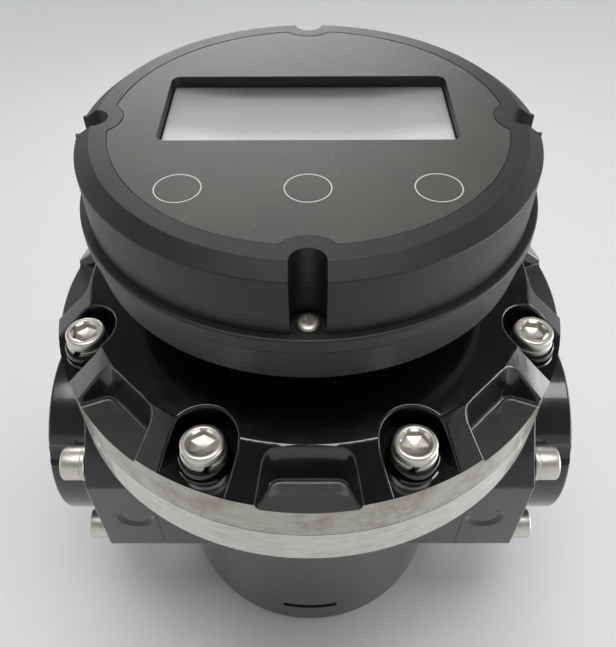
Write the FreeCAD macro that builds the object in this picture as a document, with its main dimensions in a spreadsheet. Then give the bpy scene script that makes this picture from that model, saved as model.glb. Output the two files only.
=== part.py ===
import FreeCAD, Part
import math
import os
import Sketcher

# Oval gear flow meter, 2 inch, with a round battery register on its cover.
# Millimetres, +Z up, origin under the register axis on the surface the meter
# stands on. The pipe runs along X, the reader stands on the -Y side.

V = FreeCAD.Vector
TURN_X = FreeCAD.Rotation(V(0, 1, 0), 90)
TURN_FRONT = FreeCAD.Rotation(V(1, 0, 0), 90)

DRIVING = {
    # body casting
    "body_height": 150.0,
    "flange_thick": 15.7,
    "flange_rim": 10.2,
    "can_wall": 5.8,
    "can_edge_round": 3.0,
    "flange_root_round": 4.0,
    "foot_land": 11.5,
    "foot_relief_deep": 1.5,
    "mark_width": 25.0,
    "mark_tall": 3.6,
    "mark_deep": 1.2,
    "mark_height": 17.0,
    # pipe sides
    "bar_gap": 2.3,
    "port_stand": 1.5,
    "port_bore": 25.0,
    "block_width": 100.0,
    "block_corner": 52.3,
    "block_round": 2.5,
    "plate_thick": 25.0,
    "plate_round": 1.0,
    "hub_radius": 39.5,
    "hub_long": 19.0,
    "hub_round": 1.2,
    "hub_scallop": 8.8,
    "thread_radius": 28.33,
    "thread_deep": 24.0,
    "thread_chamfer": 2.0,
    "side_bolt_out": 39.5,
    "side_bolt_up": 25.0,
    "dish_radius": 7.8,
    "dish_floor_radius": 5.6,
    "dish_deep": 1.2,
    "dish_along": 9.5,
    # measuring chamber and oval gears
    "long_half_axis": 30.0,
    "short_half_axis": 18.0,
    "tooth_top": 1.4,
    "tooth_root": 1.9,
    "tooth_backlash": 0.9,
    "tooth_flank_deg": 25.0,
    "chamber_gap": 0.3,
    "chamber_floor": 20.0,
    "rotor_end_gap": 0.4,
    "bush_end_gap": 0.15,
    "bush_length": 25.0,
    "bush_wall": 2.0,
    "bush_running_gap": 0.04,
    "shaft_radius": 6.0,
    "shaft_in_floor": 12.0,
    "shaft_in_cover": 6.0,
    "shaft_cover_gap": 0.05,
    "shaft_tip_gap": 0.3,
    "magnet_radius": 3.0,
    "magnet_long": 5.0,
    "magnet_inset": 8.0,
    # seals
    "cover_ring_inset": 8.3,
    "cover_ring_section": 1.6,
    "cover_ring_to_bolts": 17.4,
    "port_ring_inset": 6.0,
    "port_ring_section": 1.5,
    "groove_side_gap": 0.4,
    # cover casting, heights above the split plane
    "rim_at_bolts": 15.8,
    "rim_at_pockets": 13.3,
    "plateau_inset": 13.5,
    "plateau_height": 27.5,
    "plateau_round": 2.0,
    "shoulder_step": 3.0,
    "shoulder_height": 31.0,
    "shoulder_round": 3.0,
    "neck_radius": 52.0,
    "neck_height": 45.5,
    "recess_radius": 10.6,
    "rim_round": 0.8,
    "boss_half_width": 17.5,
    "pocket_reach": 14.0,
    "pocket_floor_round": 1.5,
    "pocket_draft_deg": 10.0,
    "pocket_corner_round": 4.5,
    "sensor_well_radius": 20.0,
    "sensor_well_floor": 10.0,
    # M8 socket screws and spring washers
    "bolt_radius": 4.0,
    "bolt_clearance": 0.5,
    "bolt_head_radius": 6.65,
    "bolt_head_edge": 0.8,
    "bolt_head_high": 8.0,
    "bolt_socket_flats": 7.2,
    "bolt_socket_mouth": 5.0,
    "bolt_socket_deep": 4.5,
    "cover_bolt_long": 30.0,
    "side_bolt_long": 40.0,
    "tapped_spare": 1.8,
    "washer_thick": 2.0,
    "washer_radius": 7.0,
    "washer_slit": 1.8,
    "washer_bore_gap": 0.15,
    # register base
    "base_gasket_thick": 1.0,
    "base_gasket_width": 5.0,
    "base_height": 19.3,
    "base_groove_drop": 4.6,
    "ledge_step": 2.6,
    "ledge_round": 0.8,
    "skirt_step": 2.3,
    "foot_taper": 2.7,
    "base_wall": 3.0,
    "base_floor": 3.5,
    "base_screw_circle": 40.0,
    "small_screw_radius": 2.0,
    "small_head_radius": 3.6,
    "small_head_high": 2.4,
    "small_screw_long": 12.0,
    "wire_hole_radius": 8.0,
    # register lid
    "lid_gasket_thick": 0.3,
    "lid_gasket_width": 2.0,
    "lid_gasket_inset": 0.1,
    "lid_height": 20.6,
    "lid_radius": 69.9,
    "lid_chamfer_wide": 4.75,
    "lid_chamfer_tall": 3.3,
    "lid_edge_round": 0.5,
    "lid_wall": 3.0,
    "lid_top_thick": 3.5,
    "notch_radius": 4.75,
    "notch_inset": 4.55,
    "notch_wall": 2.4,
    "notch_drop": 1.2,
    "notch_fit": 0.2,
    "tab_thick": 2.0,
    "tab_seat_gap": 0.2,
    "lid_screw_radius": 1.45,
    "lid_screw_head_radius": 3.3,
    "lid_screw_head_high": 1.7,
    "lid_screw_long": 11.0,
    # face
    "brow_width": 10.2,
    "overlay_thick": 0.4,
    "overlay_recess": 0.5,
    "overlay_gap": 0.25,
    "overlay_bump": 9.5,
    "overlay_corner": 1.5,
    "window_half_wide": 44.5,
    "window_front": -9.6,
    "window_back": 26.0,
    "window_corner": 3.0,
    "window_lap": 3.0,
    "window_thick": 2.0,
    # display stack
    "lcd_drop": 6.5,
    "lcd_half_wide": 42.5,
    "lcd_front": -13.0,
    "lcd_back": 24.5,
    "lcd_thick": 2.8,
    "holder_wall": 2.0,
    "board_gap": 2.7,
    "board_drop": 15.1,
    "board_thick": 1.6,
    "post_radius": 3.2,
    "front_post_x": 17.5,
    "front_post_y": 41.0,
    "back_post_x": 28.0,
    "back_post_y": 40.0,
    "board_screw_radius": 1.25,
    "board_screw_long": 8.0,
    # keys
    "key_radius": 6.0,
    "key_gap": 0.15,
    "key_spacing": 34.8,
    "key_row": 36.0,
    "key_flange": 1.3,
    "key_flange_thick": 1.0,
    "key_stem_radius": 2.0,
    "key_travel_gap": 0.4,
    "switch_side": 6.0,
    "switch_high": 3.6,
    "switch_stud_radius": 1.75,
    "switch_stud_high": 0.8,
    # battery pack
    "cell_radius": 7.25,
    "cell_long": 50.5,
    "cell_spacing": 16.0,
    "tray_wall": 1.6,
    "tray_high": 11.0,
    "contact_thick": 0.5,
    "contact_side": 9.0,
    "cell_side_gap": 0.5,
    # sensor
    "sensor_board_radius": 17.0,
    "reed_radius": 1.1,
    "reed_long": 14.0,
    "reed_spacing": 10.0,
}

# Heights and places that several pieces share.
DERIVED = {
    "gear_centre": "(long_half_axis + short_half_axis) / 2",
    "chamber_radius": "long_half_axis + tooth_top + chamber_gap",
    "chamber_reach": "gear_centre + chamber_radius",
    "can_radius": "chamber_reach + can_wall",
    "foot_relief_radius": "can_radius - foot_land",
    "cover_ring_radius": "chamber_reach + cover_ring_inset",
    "bolt_circle": "cover_ring_radius + cover_ring_to_bolts",
    "flange_radius": "bolt_circle + flange_rim",
    "plateau_radius": "flange_radius - plateau_inset",
    "pocket_inner": "flange_radius - pocket_reach",
    "shoulder_radius": "neck_radius + shoulder_step",
    "port_height": "body_height - flange_thick - bar_gap - block_width / 2",
    "port_face": "can_radius + port_stand",
    "port_ring_radius": "port_bore + port_ring_inset",
    "adapter_face": "port_face + plate_thick",
    "hub_end": "port_face + plate_thick + hub_long",
    "bolt_seat": "body_height + rim_at_bolts",
    "neck_top": "body_height + neck_height",
    "base_bottom": "body_height + neck_height + base_gasket_thick",
    "base_inside": "body_height + neck_height + base_gasket_thick + base_floor",
    "ledge": "body_height + neck_height + base_gasket_thick + base_height",
    "lid_bottom": "ledge + lid_gasket_thick",
    "lid_top": "ledge + lid_gasket_thick + lid_height",
    "notch_floor": "ledge - notch_drop",
    "tab_seat": "ledge - notch_drop - tab_thick - tab_seat_gap",
    "tab_bottom": "notch_floor - tab_thick",
    "lid_ceiling": "lid_top - lid_top_thick",
    "overlay_bottom": "lid_top - overlay_recess",
    "lcd_top": "lid_top - lcd_drop",
    "board_top": "lid_top - board_drop",
    "well_floor": "body_height + sensor_well_floor",
    "lid_inside": "lid_radius - lid_wall",
    "base_ledge_radius": "lid_radius + ledge_step",
    "base_side_radius": "base_ledge_radius - skirt_step",
    "base_foot_radius": "base_side_radius - foot_taper",
    "notch_circle": "lid_radius - notch_inset",
    "overlay_radius": "lid_radius - brow_width",
    "board_radius": "notch_circle - notch_radius - notch_wall - board_gap",
}
BOLTS = 8

doc = FreeCAD.newDocument("oval_gear_meter")
sizes = doc.addObject("Spreadsheet::Sheet", "sizes")
cells = list(DRIVING.items()) + [(name, "=" + text) for name, text in DERIVED.items()]
for row, (alias, content) in enumerate(cells, 1):
    sizes.set(f"A{row}", alias)
    sizes.set(f"B{row}", str(content))
    sizes.setAlias(f"B{row}", alias)
doc.recompute()

pieces = []


def size(alias):
    """Current value of one cell of the sheet."""
    return float(sizes.get(alias))


def keep(label, piece):
    """Names a finished piece, which is then written to its own file."""
    piece.Label = label
    pieces.append(piece)
    return piece


def place(piece, x="0", y="0", z="0", turn=None):
    if turn is not None:
        piece.Placement = FreeCAD.Placement(V(0, 0, 0), turn)
    for axis, text in (("x", x), ("y", y), ("z", z)):
        if text != "0":
            piece.setExpression("Placement.Base." + axis, text)
    return piece


def cylinder(name, radius, height, x="0", y="0", z="0", turn=None):
    rod = doc.addObject("Part::Cylinder", name)
    rod.setExpression("Radius", radius)
    rod.setExpression("Height", height)
    return place(rod, x, y, z, turn)


def cone(name, radius_1, radius_2, height, x="0", y="0", z="0", turn=None):
    taper = doc.addObject("Part::Cone", name)
    taper.setExpression("Radius1", radius_1)
    taper.setExpression("Radius2", radius_2)
    taper.setExpression("Height", height)
    return place(taper, x, y, z, turn)


def box(name, length, width, height, x="0", y="0", z="0", turn=None):
    block = doc.addObject("Part::Box", name)
    block.setExpression("Length", length)
    block.setExpression("Width", width)
    block.setExpression("Height", height)
    return place(block, x, y, z, turn)


def torus(name, radius, section, x="0", y="0", z="0", turn=None):
    ring = doc.addObject("Part::Torus", name)
    ring.setExpression("Radius1", radius)
    ring.setExpression("Radius2", section)
    return place(ring, x, y, z, turn)


def fuse(name, *parts):
    if len(parts) == 1:
        return parts[0]
    joined = doc.addObject("Part::MultiFuse", name)
    joined.Shapes = list(parts)
    return joined


def cut(name, base, *tools):
    result = doc.addObject("Part::Cut", name)
    result.Base = base
    result.Tool = fuse(name + "_tools", *tools)
    return result


def common(name, first, second):
    shared = doc.addObject("Part::Common", name)
    shared.Base = first
    shared.Tool = second
    return shared


def tube(name, outer, inner, height, x="0", y="0", z="0", turn=None):
    outside = cylinder(name + "_outside", outer, height, x, y, z, turn)
    inside = cylinder(name + "_inside", inner, height, x, y, z, turn)
    return cut(name, outside, inside)


def sketch_on(body, role, name, lift="0"):
    """Sketch on one origin plane of its own body, lifted along the plane's normal."""
    plane = next(item for item in body.Origin.OriginFeatures if item.Role == role)
    sketch = body.newObject("Sketcher::SketchObject", name)
    sketch.AttachmentSupport = [(plane, "")]
    sketch.MapMode = "FlatFace"
    if lift != "0":
        sketch.setExpression("AttachmentOffset.Base.z", lift)
    return sketch


def fix_point(sketch, geometry, end, x, y):
    for kind, text in (("DistanceX", x), ("DistanceY", y)):
        index = sketch.addConstraint(Sketcher.Constraint(kind, -1, 1, geometry, end, 1.0))
        sketch.setExpression(f"Constraints[{index}]", text)


def polygon(sketch, corners):
    """Closed outline with each corner held by two size expressions."""
    count = len(corners)
    first = sketch.GeometryCount
    ring = [V(math.cos(2 * math.pi * i / count), math.sin(2 * math.pi * i / count), 0)
            * size("neck_radius") for i in range(count)]
    for i in range(count):
        sketch.addGeometry(Part.LineSegment(ring[i], ring[(i + 1) % count]), False)
    for i, (x, y) in enumerate(corners):
        following = first + (i + 1) % count
        sketch.addConstraint(Sketcher.Constraint("Coincident", first + i, 2, following, 1))
        fix_point(sketch, first + i, 1, x, y)


def turned(name, corners):
    """Body turned about Z from a half outline of (radius, height) corners."""
    body = doc.addObject("PartDesign::Body", name)
    sketch = sketch_on(body, "XZ_Plane", name + "_profile")
    polygon(sketch, corners)
    turn = body.newObject("PartDesign::Revolution", name + "_turn")
    turn.Profile = sketch
    turn.ReferenceAxis = (sketch, ["V_Axis"])
    turn.Angle = 360
    sketch.Visibility = False
    return body


def pad(body, sketch, name, length, kind="PartDesign::Pad", reversed_way=False):
    feature = body.newObject(kind, name)
    feature.Profile = sketch
    feature.setExpression("Length", length)
    feature.Reversed = reversed_way
    return feature


def rounded(body, name, radius, pick):
    """Fillet on the edges of the body's tip that pick accepts."""
    doc.recompute()
    tip = body.Tip
    edges = [f"Edge{i}" for i, edge in enumerate(tip.Shape.Edges, 1) if pick(edge)]
    fillet = body.newObject("PartDesign::Fillet", name)
    fillet.Base = (tip, edges)
    fillet.setExpression("Radius", radius)
    return fillet


def is_circle(edge, radius, height):
    """True for a full circle about Z of this radius at this height."""
    curve = edge.Curve
    return (isinstance(curve, Part.Circle) and abs(curve.Radius - radius) < 0.01
            and abs(curve.Center.z - height) < 0.01)


def is_upright(edge):
    box_of = edge.BoundBox
    return box_of.ZLength > 0.01 and box_of.XLength < 1e-4 and box_of.YLength < 1e-4


def softened(name, base, *rounds):
    """Finished shape with fillets, given as pairs of a size and a test for its edges."""
    doc.recompute()
    soft = doc.addObject("Part::Fillet", name)
    soft.Base = base
    shape = base.Shape
    edges = []
    for index, edge in enumerate(shape.Edges, 1):
        for radius, pick in rounds:
            if pick(edge, shape):
                edges.append((index, size(radius), size(radius)))
                break
    soft.Edges = edges
    return soft


def is_along_pipe(edge):
    box_of = edge.BoundBox
    return box_of.XLength > 0.01 and box_of.YLength < 1e-4 and box_of.ZLength < 1e-4


def middle(edge):
    """Distance from the axis and height of the middle of an edge."""
    point = edge.valueAt((edge.FirstParameter + edge.LastParameter) / 2)
    return math.hypot(point.x, point.y), point.z


def face_tilts(edge, shape):
    """Upward part of the normal of each face that meets at the middle of an edge."""
    point = edge.valueAt((edge.FirstParameter + edge.LastParameter) / 2)
    tilts = []
    for face in shape.ancestorsOfType(edge, Part.Face):
        u, v = face.Surface.parameter(point)
        tilts.append(face.normalAt(u, v).z)
    return sorted(tilts)


def plate(name, x_from, x_to, y_from, y_to, z, thick, corner=None):
    """Flat plate with optional rounded upright corners."""
    body = doc.addObject("PartDesign::Body", name)
    sketch = sketch_on(body, "XY_Plane", name + "_outline", z)
    polygon(sketch, [(x_from, y_from), (x_to, y_from), (x_to, y_to), (x_from, y_to)])
    pad(body, sketch, name + "_pad", thick)
    if corner:
        rounded(body, name + "_corners", corner, is_upright)
    return body


def on_circle(radius, angle):
    """Expressions for the X and Y of a point at an angle in degrees."""
    return f"{radius} * cos({angle})", f"{radius} * sin({angle})"


def group(label, pattern, spots):
    """Equal pieces, each a copy of one pattern at its own spot."""
    doc.recompute()
    copies = []
    for spot in spots:
        one = pattern.Shape.copy()
        one.Placement = spot.multiply(one.Placement)
        copies.append(one)
    feature = doc.addObject("Part::Feature", label)
    feature.Shape = Part.makeCompound(copies)
    return keep(label, feature)


def plate_section(name, x, length):
    """Square bar along the pipe with its four corners cut at 45 degrees."""
    upright = box(name + "_square", length, "sizes.block_width", "sizes.block_width",
                  x, "-sizes.block_width / 2", "sizes.port_height - sizes.block_width / 2")
    tilted = box(name + "_tilted", length, "2 * sizes.block_corner", "2 * sizes.block_corner",
                 x, "0", "sizes.port_height - sizes.block_corner * sqrt(2)",
                 turn=FreeCAD.Rotation(V(1, 0, 0), 45))
    return common(name, upright, tilted)


def side_bolt_places():
    return [(y, up) for y in ("sizes.side_bolt_out", "-sizes.side_bolt_out")
            for up in ("sizes.port_height + sizes.side_bolt_up",
                       "sizes.port_height - sizes.side_bolt_up")]


BOLT_ANGLES = [(step + 0.5) * 360 / BOLTS for step in range(BOLTS)]
ROTOR_Y = {"a": "sizes.gear_centre", "b": "-sizes.gear_centre"}

# Body casting: flange, can and octagonal bar in one, then chamber, ports and holes.
barrel = turned("barrel", [
    ("0", "0"),
    ("sizes.can_radius", "0"),
    ("sizes.can_radius", "sizes.body_height - sizes.flange_thick"),
    ("sizes.flange_radius", "sizes.body_height - sizes.flange_thick"),
    ("sizes.flange_radius", "sizes.body_height"),
    ("0", "sizes.body_height")])
rounded(barrel, "can_edge", "sizes.can_edge_round",
        lambda edge: is_circle(edge, size("can_radius"), 0))
rounded(barrel, "flange_root", "sizes.flange_root_round",
        lambda edge: is_circle(edge, size("can_radius"),
                               size("body_height") - size("flange_thick")))
port_bar = softened("port_bar_soft",
                    plate_section("port_bar", "-sizes.port_face", "2 * sizes.port_face"),
                    ("block_round", lambda edge, shape: is_along_pipe(edge)))
solid_body = fuse("solid_body", barrel, port_bar)

hollows = [
    cylinder("lobe_" + side, "sizes.chamber_radius", "sizes.body_height - sizes.chamber_floor + 1",
             y=y, z="sizes.chamber_floor") for side, y in ROTOR_Y.items()]
hollows += [
    cylinder("shaft_hole_" + side, "sizes.shaft_radius", "sizes.shaft_in_floor + 1",
             y=y, z="sizes.chamber_floor - sizes.shaft_in_floor") for side, y in ROTOR_Y.items()]
hollows.append(cylinder("cross_bore", "sizes.port_bore", "2 * sizes.port_face + 2",
                        x="-sizes.port_face - 1", z="sizes.port_height", turn=TURN_X))
hollows.append(tube("ring_groove",
                    "sizes.cover_ring_radius + sizes.cover_ring_section + sizes.groove_side_gap",
                    "sizes.cover_ring_radius - sizes.cover_ring_section - sizes.groove_side_gap",
                    "2 * sizes.cover_ring_section",
                    z="sizes.body_height - 2 * sizes.cover_ring_section"))
hollows.append(cylinder("foot_relief", "sizes.foot_relief_radius", "sizes.foot_relief_deep + 1",
                        z="-1"))
for index, angle in enumerate(BOLT_ANGLES):
    x, y = on_circle("sizes.bolt_circle", angle)
    hollows.append(cylinder(f"cover_tapping_{index}", "sizes.bolt_radius", "20", x, y,
                            "sizes.bolt_seat + sizes.washer_thick - sizes.cover_bolt_long"
                            " - sizes.tapped_spare"))
for side in (-1, 1):
    start = (f"{side} * (sizes.adapter_face + sizes.washer_thick - sizes.side_bolt_long"
             f" - sizes.tapped_spare)")
    for index, (y, up) in enumerate(side_bolt_places()):
        turn = TURN_X if side > 0 else FreeCAD.Rotation(V(0, 1, 0), -90)
        hollows.append(cylinder(f"side_tapping_{side}_{index}", "sizes.bolt_radius", "20",
                                start, y, up, turn))
mark_block = box("mark_block", "sizes.mark_width", "sizes.can_radius", "sizes.mark_tall",
                 "-sizes.mark_width / 2", "-sizes.can_radius - 1",
                 "sizes.mark_height - sizes.mark_tall / 2")
mark_shell = tube("mark_shell", "sizes.can_radius + 1", "sizes.can_radius - sizes.mark_deep",
                  "2 * sizes.mark_height")
hollows.append(common("casting_mark", mark_block, mark_shell))
keep("meter_body", cut("meter_body", solid_body, *hollows))

# Cover casting: turned blank with a neck, open recesses round the bolts and
# cored pockets between them, so the ribs run down to the rim.
cover_blank = turned("cover_blank", [
    ("0", "sizes.body_height"),
    ("sizes.flange_radius", "sizes.body_height"),
    ("sizes.flange_radius", "sizes.bolt_seat"),
    ("sizes.plateau_radius", "sizes.body_height + sizes.plateau_height"),
    ("sizes.shoulder_radius", "sizes.body_height + sizes.shoulder_height"),
    ("sizes.neck_radius", "sizes.body_height + sizes.shoulder_height + sizes.shoulder_step"),
    ("sizes.neck_radius", "sizes.neck_top"),
    ("0", "sizes.neck_top")])
for name, radius, up, softness in (
        ("plateau", "plateau_radius", size("plateau_height"), "sizes.plateau_round"),
        ("shoulder", "shoulder_radius", size("shoulder_height"), "sizes.shoulder_round"),
        ("neck", "neck_radius", size("shoulder_height") + size("shoulder_step"),
         "sizes.shoulder_round")):
    rounded(cover_blank, name + "_edge", softness,
            lambda edge: is_circle(edge, size(radius), size("body_height") + up))


def rounded_outline(corners, radii, z):
    """Closed wire through corners with each corner rounded by an arc."""
    edges = []
    count = len(corners)
    points = [V(x, y, z) for x, y in corners]
    ends = []
    for i in range(count):
        here = points[i]
        back = (points[i - 1] - here).normalize()
        ahead = (points[(i + 1) % count] - here).normalize()
        half = back.getAngle(ahead) / 2
        reach = radii[i] / math.tan(half)
        start = here + back * reach
        end = here + ahead * reach
        centre_way = (back + ahead).normalize()
        apex = here + centre_way * (radii[i] / math.sin(half) - radii[i])
        ends.append((start, apex, end))
    for i, (start, apex, end) in enumerate(ends):
        edges.append(Part.Arc(start, apex, end).toShape())
        edges.append(Part.LineSegment(end, ends[(i + 1) % count][0]).toShape())
    return Part.Wire(edges)


def pocket_corners(inset):
    """Outline of one cored pocket, narrowed all round by inset."""
    half = math.radians(180 / BOLTS)
    inner = size("pocket_inner") + inset
    outer = size("flange_radius") + 6
    offset = size("boss_half_width") + inset

    def side_at(x):
        return x * math.tan(half) - offset / math.cos(half)

    return [(inner, -side_at(inner)), (outer, -side_at(outer)),
            (outer, side_at(outer)), (inner, side_at(inner))]


def cored_pockets():
    """Drafted pockets between the bolts, as one tool shape."""
    floor = size("body_height") + size("rim_at_pockets")
    top = size("body_height") + size("plateau_height") + 3
    narrow = (top - floor) * math.tan(math.radians(size("pocket_draft_deg")))
    corner = size("pocket_corner_round")
    radii = [corner, 0.5, 0.5, corner]
    low = rounded_outline(pocket_corners(narrow), radii, floor)
    high = rounded_outline(pocket_corners(0), radii, top)
    pocket = Part.makeLoft([low, high], True)
    turned_copies = []
    for step in range(BOLTS):
        one = pocket.copy()
        one.rotate(V(0, 0, 0), V(0, 0, 1), step * 360 / BOLTS)
        turned_copies.append(one)
    return Part.makeCompound(turned_copies)


pocket_tool = doc.addObject("Part::Feature", "pocket_tool")
pocket_tool.Shape = cored_pockets()

cover_tools = [pocket_tool]
for index, angle in enumerate(BOLT_ANGLES):
    x, y = on_circle("sizes.bolt_circle", angle)
    cover_tools.append(cylinder(f"recess_{index}", "sizes.recess_radius", "30", x, y,
                                "sizes.bolt_seat"))
    side_x, side_y = on_circle("sizes.recess_radius", angle - 90)
    open_end = box(f"recess_mouth_{index}", "30", "2 * sizes.recess_radius", "30",
                   f"{x} + {side_x}", f"{y} + {side_y}", "sizes.bolt_seat",
                   turn=FreeCAD.Rotation(V(0, 0, 1), angle))
    cover_tools.append(open_end)
    cover_tools.append(cylinder(f"cover_hole_{index}", "sizes.bolt_radius + sizes.bolt_clearance",
                                "40", x, y, "sizes.body_height - 1"))
cover_tools += [
    cylinder("shaft_end_hole_" + side, "sizes.shaft_radius + sizes.shaft_cover_gap",
             "sizes.shaft_in_cover + sizes.shaft_tip_gap + 1", y=y, z="sizes.body_height - 1")
    for side, y in ROTOR_Y.items()]
cover_tools.append(cylinder("sensor_well", "sizes.sensor_well_radius", "sizes.neck_height + 1",
                            z="sizes.well_floor"))
for index in range(4):
    x, y = on_circle("sizes.base_screw_circle", 45 + 90 * index)
    cover_tools.append(cylinder(f"neck_tapping_{index}", "sizes.small_screw_radius", "20", x, y,
                                "sizes.base_inside - sizes.small_screw_long - sizes.tapped_spare"))
raw_cover = cut("raw_cover", cover_blank, *cover_tools)
raw_cover.Refine = True


def is_rim(edge, shape):
    """True where the top of the cover breaks into a recess or a pocket."""
    reach, up = middle(edge)
    if (up < size("bolt_seat") + size("rim_round") or reach > size("flange_radius") - 0.1
            or reach < size("shoulder_radius") + size("shoulder_round")):
        return False
    tilts = face_tilts(edge, shape)
    return len(tilts) == 2 and abs(tilts[0]) < 0.4 and tilts[1] > 0.6


def is_pocket_floor(edge, shape):
    reach, up = middle(edge)
    return (abs(up - size("body_height") - size("rim_at_pockets")) < 0.01
            and reach < size("flange_radius") - 0.1)


cover = softened("cover_floors", raw_cover, ("pocket_floor_round", is_pocket_floor))
keep("meter_cover", softened("meter_cover", cover, ("rim_round", is_rim)))

# Seals between the castings, drawn as squeezed cords.
keep("cover_o_ring", torus("cover_o_ring", "sizes.cover_ring_radius", "sizes.cover_ring_section",
                           z="sizes.body_height - sizes.cover_ring_section"))

# Pipe adapter: octagonal plate with a threaded hub, relieved round the screw heads.
plate_blank = softened("adapter_plate_sides",
                       plate_section("adapter_plate", "sizes.port_face", "sizes.plate_thick"),
                       ("block_round", lambda edge, shape: is_along_pipe(edge)))
plate_blank = softened("adapter_plate_soft", plate_blank,
                       ("plate_round", lambda edge, shape: edge.BoundBox.XMin
                        > size("adapter_face") - 0.01))
hub = softened("hub_soft",
               cylinder("hub", "sizes.hub_radius", "sizes.hub_long + sizes.plate_thick / 2",
                        x="sizes.adapter_face - sizes.plate_thick / 2",
                        z="sizes.port_height", turn=TURN_X),
               ("hub_round", lambda edge, shape: edge.BoundBox.XMin > size("hub_end") - 0.01))
adapter_tools = [
    cylinder("adapter_bore", "sizes.port_bore", "60", x="sizes.port_face - 1",
             z="sizes.port_height", turn=TURN_X),
    cylinder("thread_bore", "sizes.thread_radius", "sizes.thread_deep + 1",
             x="sizes.hub_end - sizes.thread_deep", z="sizes.port_height", turn=TURN_X),
    cone("thread_mouth", "sizes.thread_radius", "sizes.thread_radius + sizes.thread_chamfer + 1",
         "sizes.thread_chamfer + 1", x="sizes.hub_end - sizes.thread_chamfer",
         z="sizes.port_height", turn=TURN_X),
    tube("port_groove",
         "sizes.port_ring_radius + sizes.port_ring_section + sizes.groove_side_gap",
         "sizes.port_ring_radius - sizes.port_ring_section - sizes.groove_side_gap",
         "2 * sizes.port_ring_section", x="sizes.port_face", z="sizes.port_height", turn=TURN_X),
    cone("front_dish", "sizes.dish_floor_radius",
         "2 * sizes.dish_radius - sizes.dish_floor_radius", "2 * sizes.dish_deep",
         "sizes.port_face + sizes.dish_along",
         "-sizes.block_width / 2 + sizes.dish_deep", "sizes.port_height", TURN_FRONT)]
for index, (y, up) in enumerate(side_bolt_places()):
    adapter_tools.append(cylinder(f"scallop_{index}", "sizes.hub_scallop", "60",
                                  "sizes.adapter_face", y, up, TURN_X))
    adapter_tools.append(cylinder(f"adapter_hole_{index}",
                                  "sizes.bolt_radius + sizes.bolt_clearance", "60",
                                  "sizes.port_face - 1", y, up, TURN_X))
outlet = keep("outlet_adapter", cut("outlet_adapter", fuse("adapter_blank", plate_blank, hub),
                                    *adapter_tools))
port_ring = keep("outlet_o_ring", torus("outlet_o_ring", "sizes.port_ring_radius",
                                        "sizes.port_ring_section",
                                        "sizes.port_face + sizes.port_ring_section", "0",
                                        "sizes.port_height", TURN_X))


def mirrored(name, source):
    """Same piece on the inlet side of the meter."""
    twin = doc.addObject("Part::Mirroring", name)
    twin.Source = source
    twin.Normal = V(1, 0, 0)
    twin.Base = V(0, 0, 0)
    return keep(name, twin)


mirrored("inlet_adapter", outlet)
mirrored("inlet_o_ring", port_ring)


def socket_screw(name, length, head_radius, head_high, shank, flats, deep):
    """Cap screw standing on its seat at the origin, hexagon socket upwards."""
    edge, mouth_radius = "sizes.bolt_head_edge", "sizes.bolt_socket_mouth"
    blank = turned(name + "_blank", [
        ("0", f"-{length}"),
        (f"{shank} - {edge}", f"-{length}"),
        (shank, f"-{length} + {edge}"),
        (shank, "0"),
        (head_radius, "0"),
        (head_radius, f"{head_high} - {edge}"),
        (f"{head_radius} - {edge}", head_high),
        ("0", head_high)])
    socket = doc.addObject("Part::Prism", name + "_socket")
    socket.Polygon = 6
    socket.setExpression("Circumradius", f"{flats} / sqrt(3)")
    socket.setExpression("Height", f"{deep} + 1")
    place(socket, z=f"{head_high} - {deep}")
    mouth = cone(name + "_mouth", f"{flats} / 2", f"2 * {mouth_radius} - {flats} / 2",
                 f"2 * {edge}", z=f"{head_high} - {edge}")
    return cut(name, blank, socket, mouth)


def split_washer(name):
    """Spring lock washer with its slit, lying on the seat at the origin."""
    ring = tube(name + "_ring", "sizes.washer_radius",
                "sizes.bolt_radius + sizes.washer_bore_gap", "sizes.washer_thick")
    slit = box(name + "_slit", "2 * sizes.washer_radius", "sizes.washer_slit",
               "3 * sizes.washer_thick", z="-sizes.washer_thick",
               turn=FreeCAD.Rotation(V(1, 0, 0), 20))
    return cut(name, ring, slit)


cover_screw = socket_screw("cover_screw", "sizes.cover_bolt_long", "sizes.bolt_head_radius",
                           "sizes.bolt_head_high", "sizes.bolt_radius",
                           "sizes.bolt_socket_flats", "sizes.bolt_socket_deep")
side_screw = socket_screw("side_screw", "sizes.side_bolt_long", "sizes.bolt_head_radius",
                          "sizes.bolt_head_high", "sizes.bolt_radius",
                          "sizes.bolt_socket_flats", "sizes.bolt_socket_deep")
lock_washer = split_washer("lock_washer")


SCREW_TURNS = (10, 47, 24, 5, 38, 30, 0, 52)
WASHER_TURNS = (35, 150, 75, 310, 250, 280, 260, 200)


def flange_spots(lift, turns):
    """Places on the cover's bolt circle, each turned as its nut runner left it."""
    spots = []
    for index, angle in enumerate(BOLT_ANGLES):
        way = math.radians(angle)
        place_at = V(size("bolt_circle") * math.cos(way), size("bolt_circle") * math.sin(way), lift)
        spots.append(FreeCAD.Placement(place_at, FreeCAD.Rotation(V(0, 0, 1), turns[index])))
    return spots


def side_spots(side, distance):
    """Places on one adapter plate, facing out along the pipe."""
    spots = []
    for index in range(4):
        y = size("side_bolt_out") * (1 if index < 2 else -1)
        up = size("side_bolt_up") * (1 if index % 2 else -1)
        outward = FreeCAD.Rotation(V(0, 1, 0), 90 * side)
        spin = FreeCAD.Rotation(V(0, 0, 1), SCREW_TURNS[index])
        spots.append(FreeCAD.Placement(V(side * distance, y, size("port_height") + up),
                                       outward.multiply(spin)))
    return spots


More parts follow.
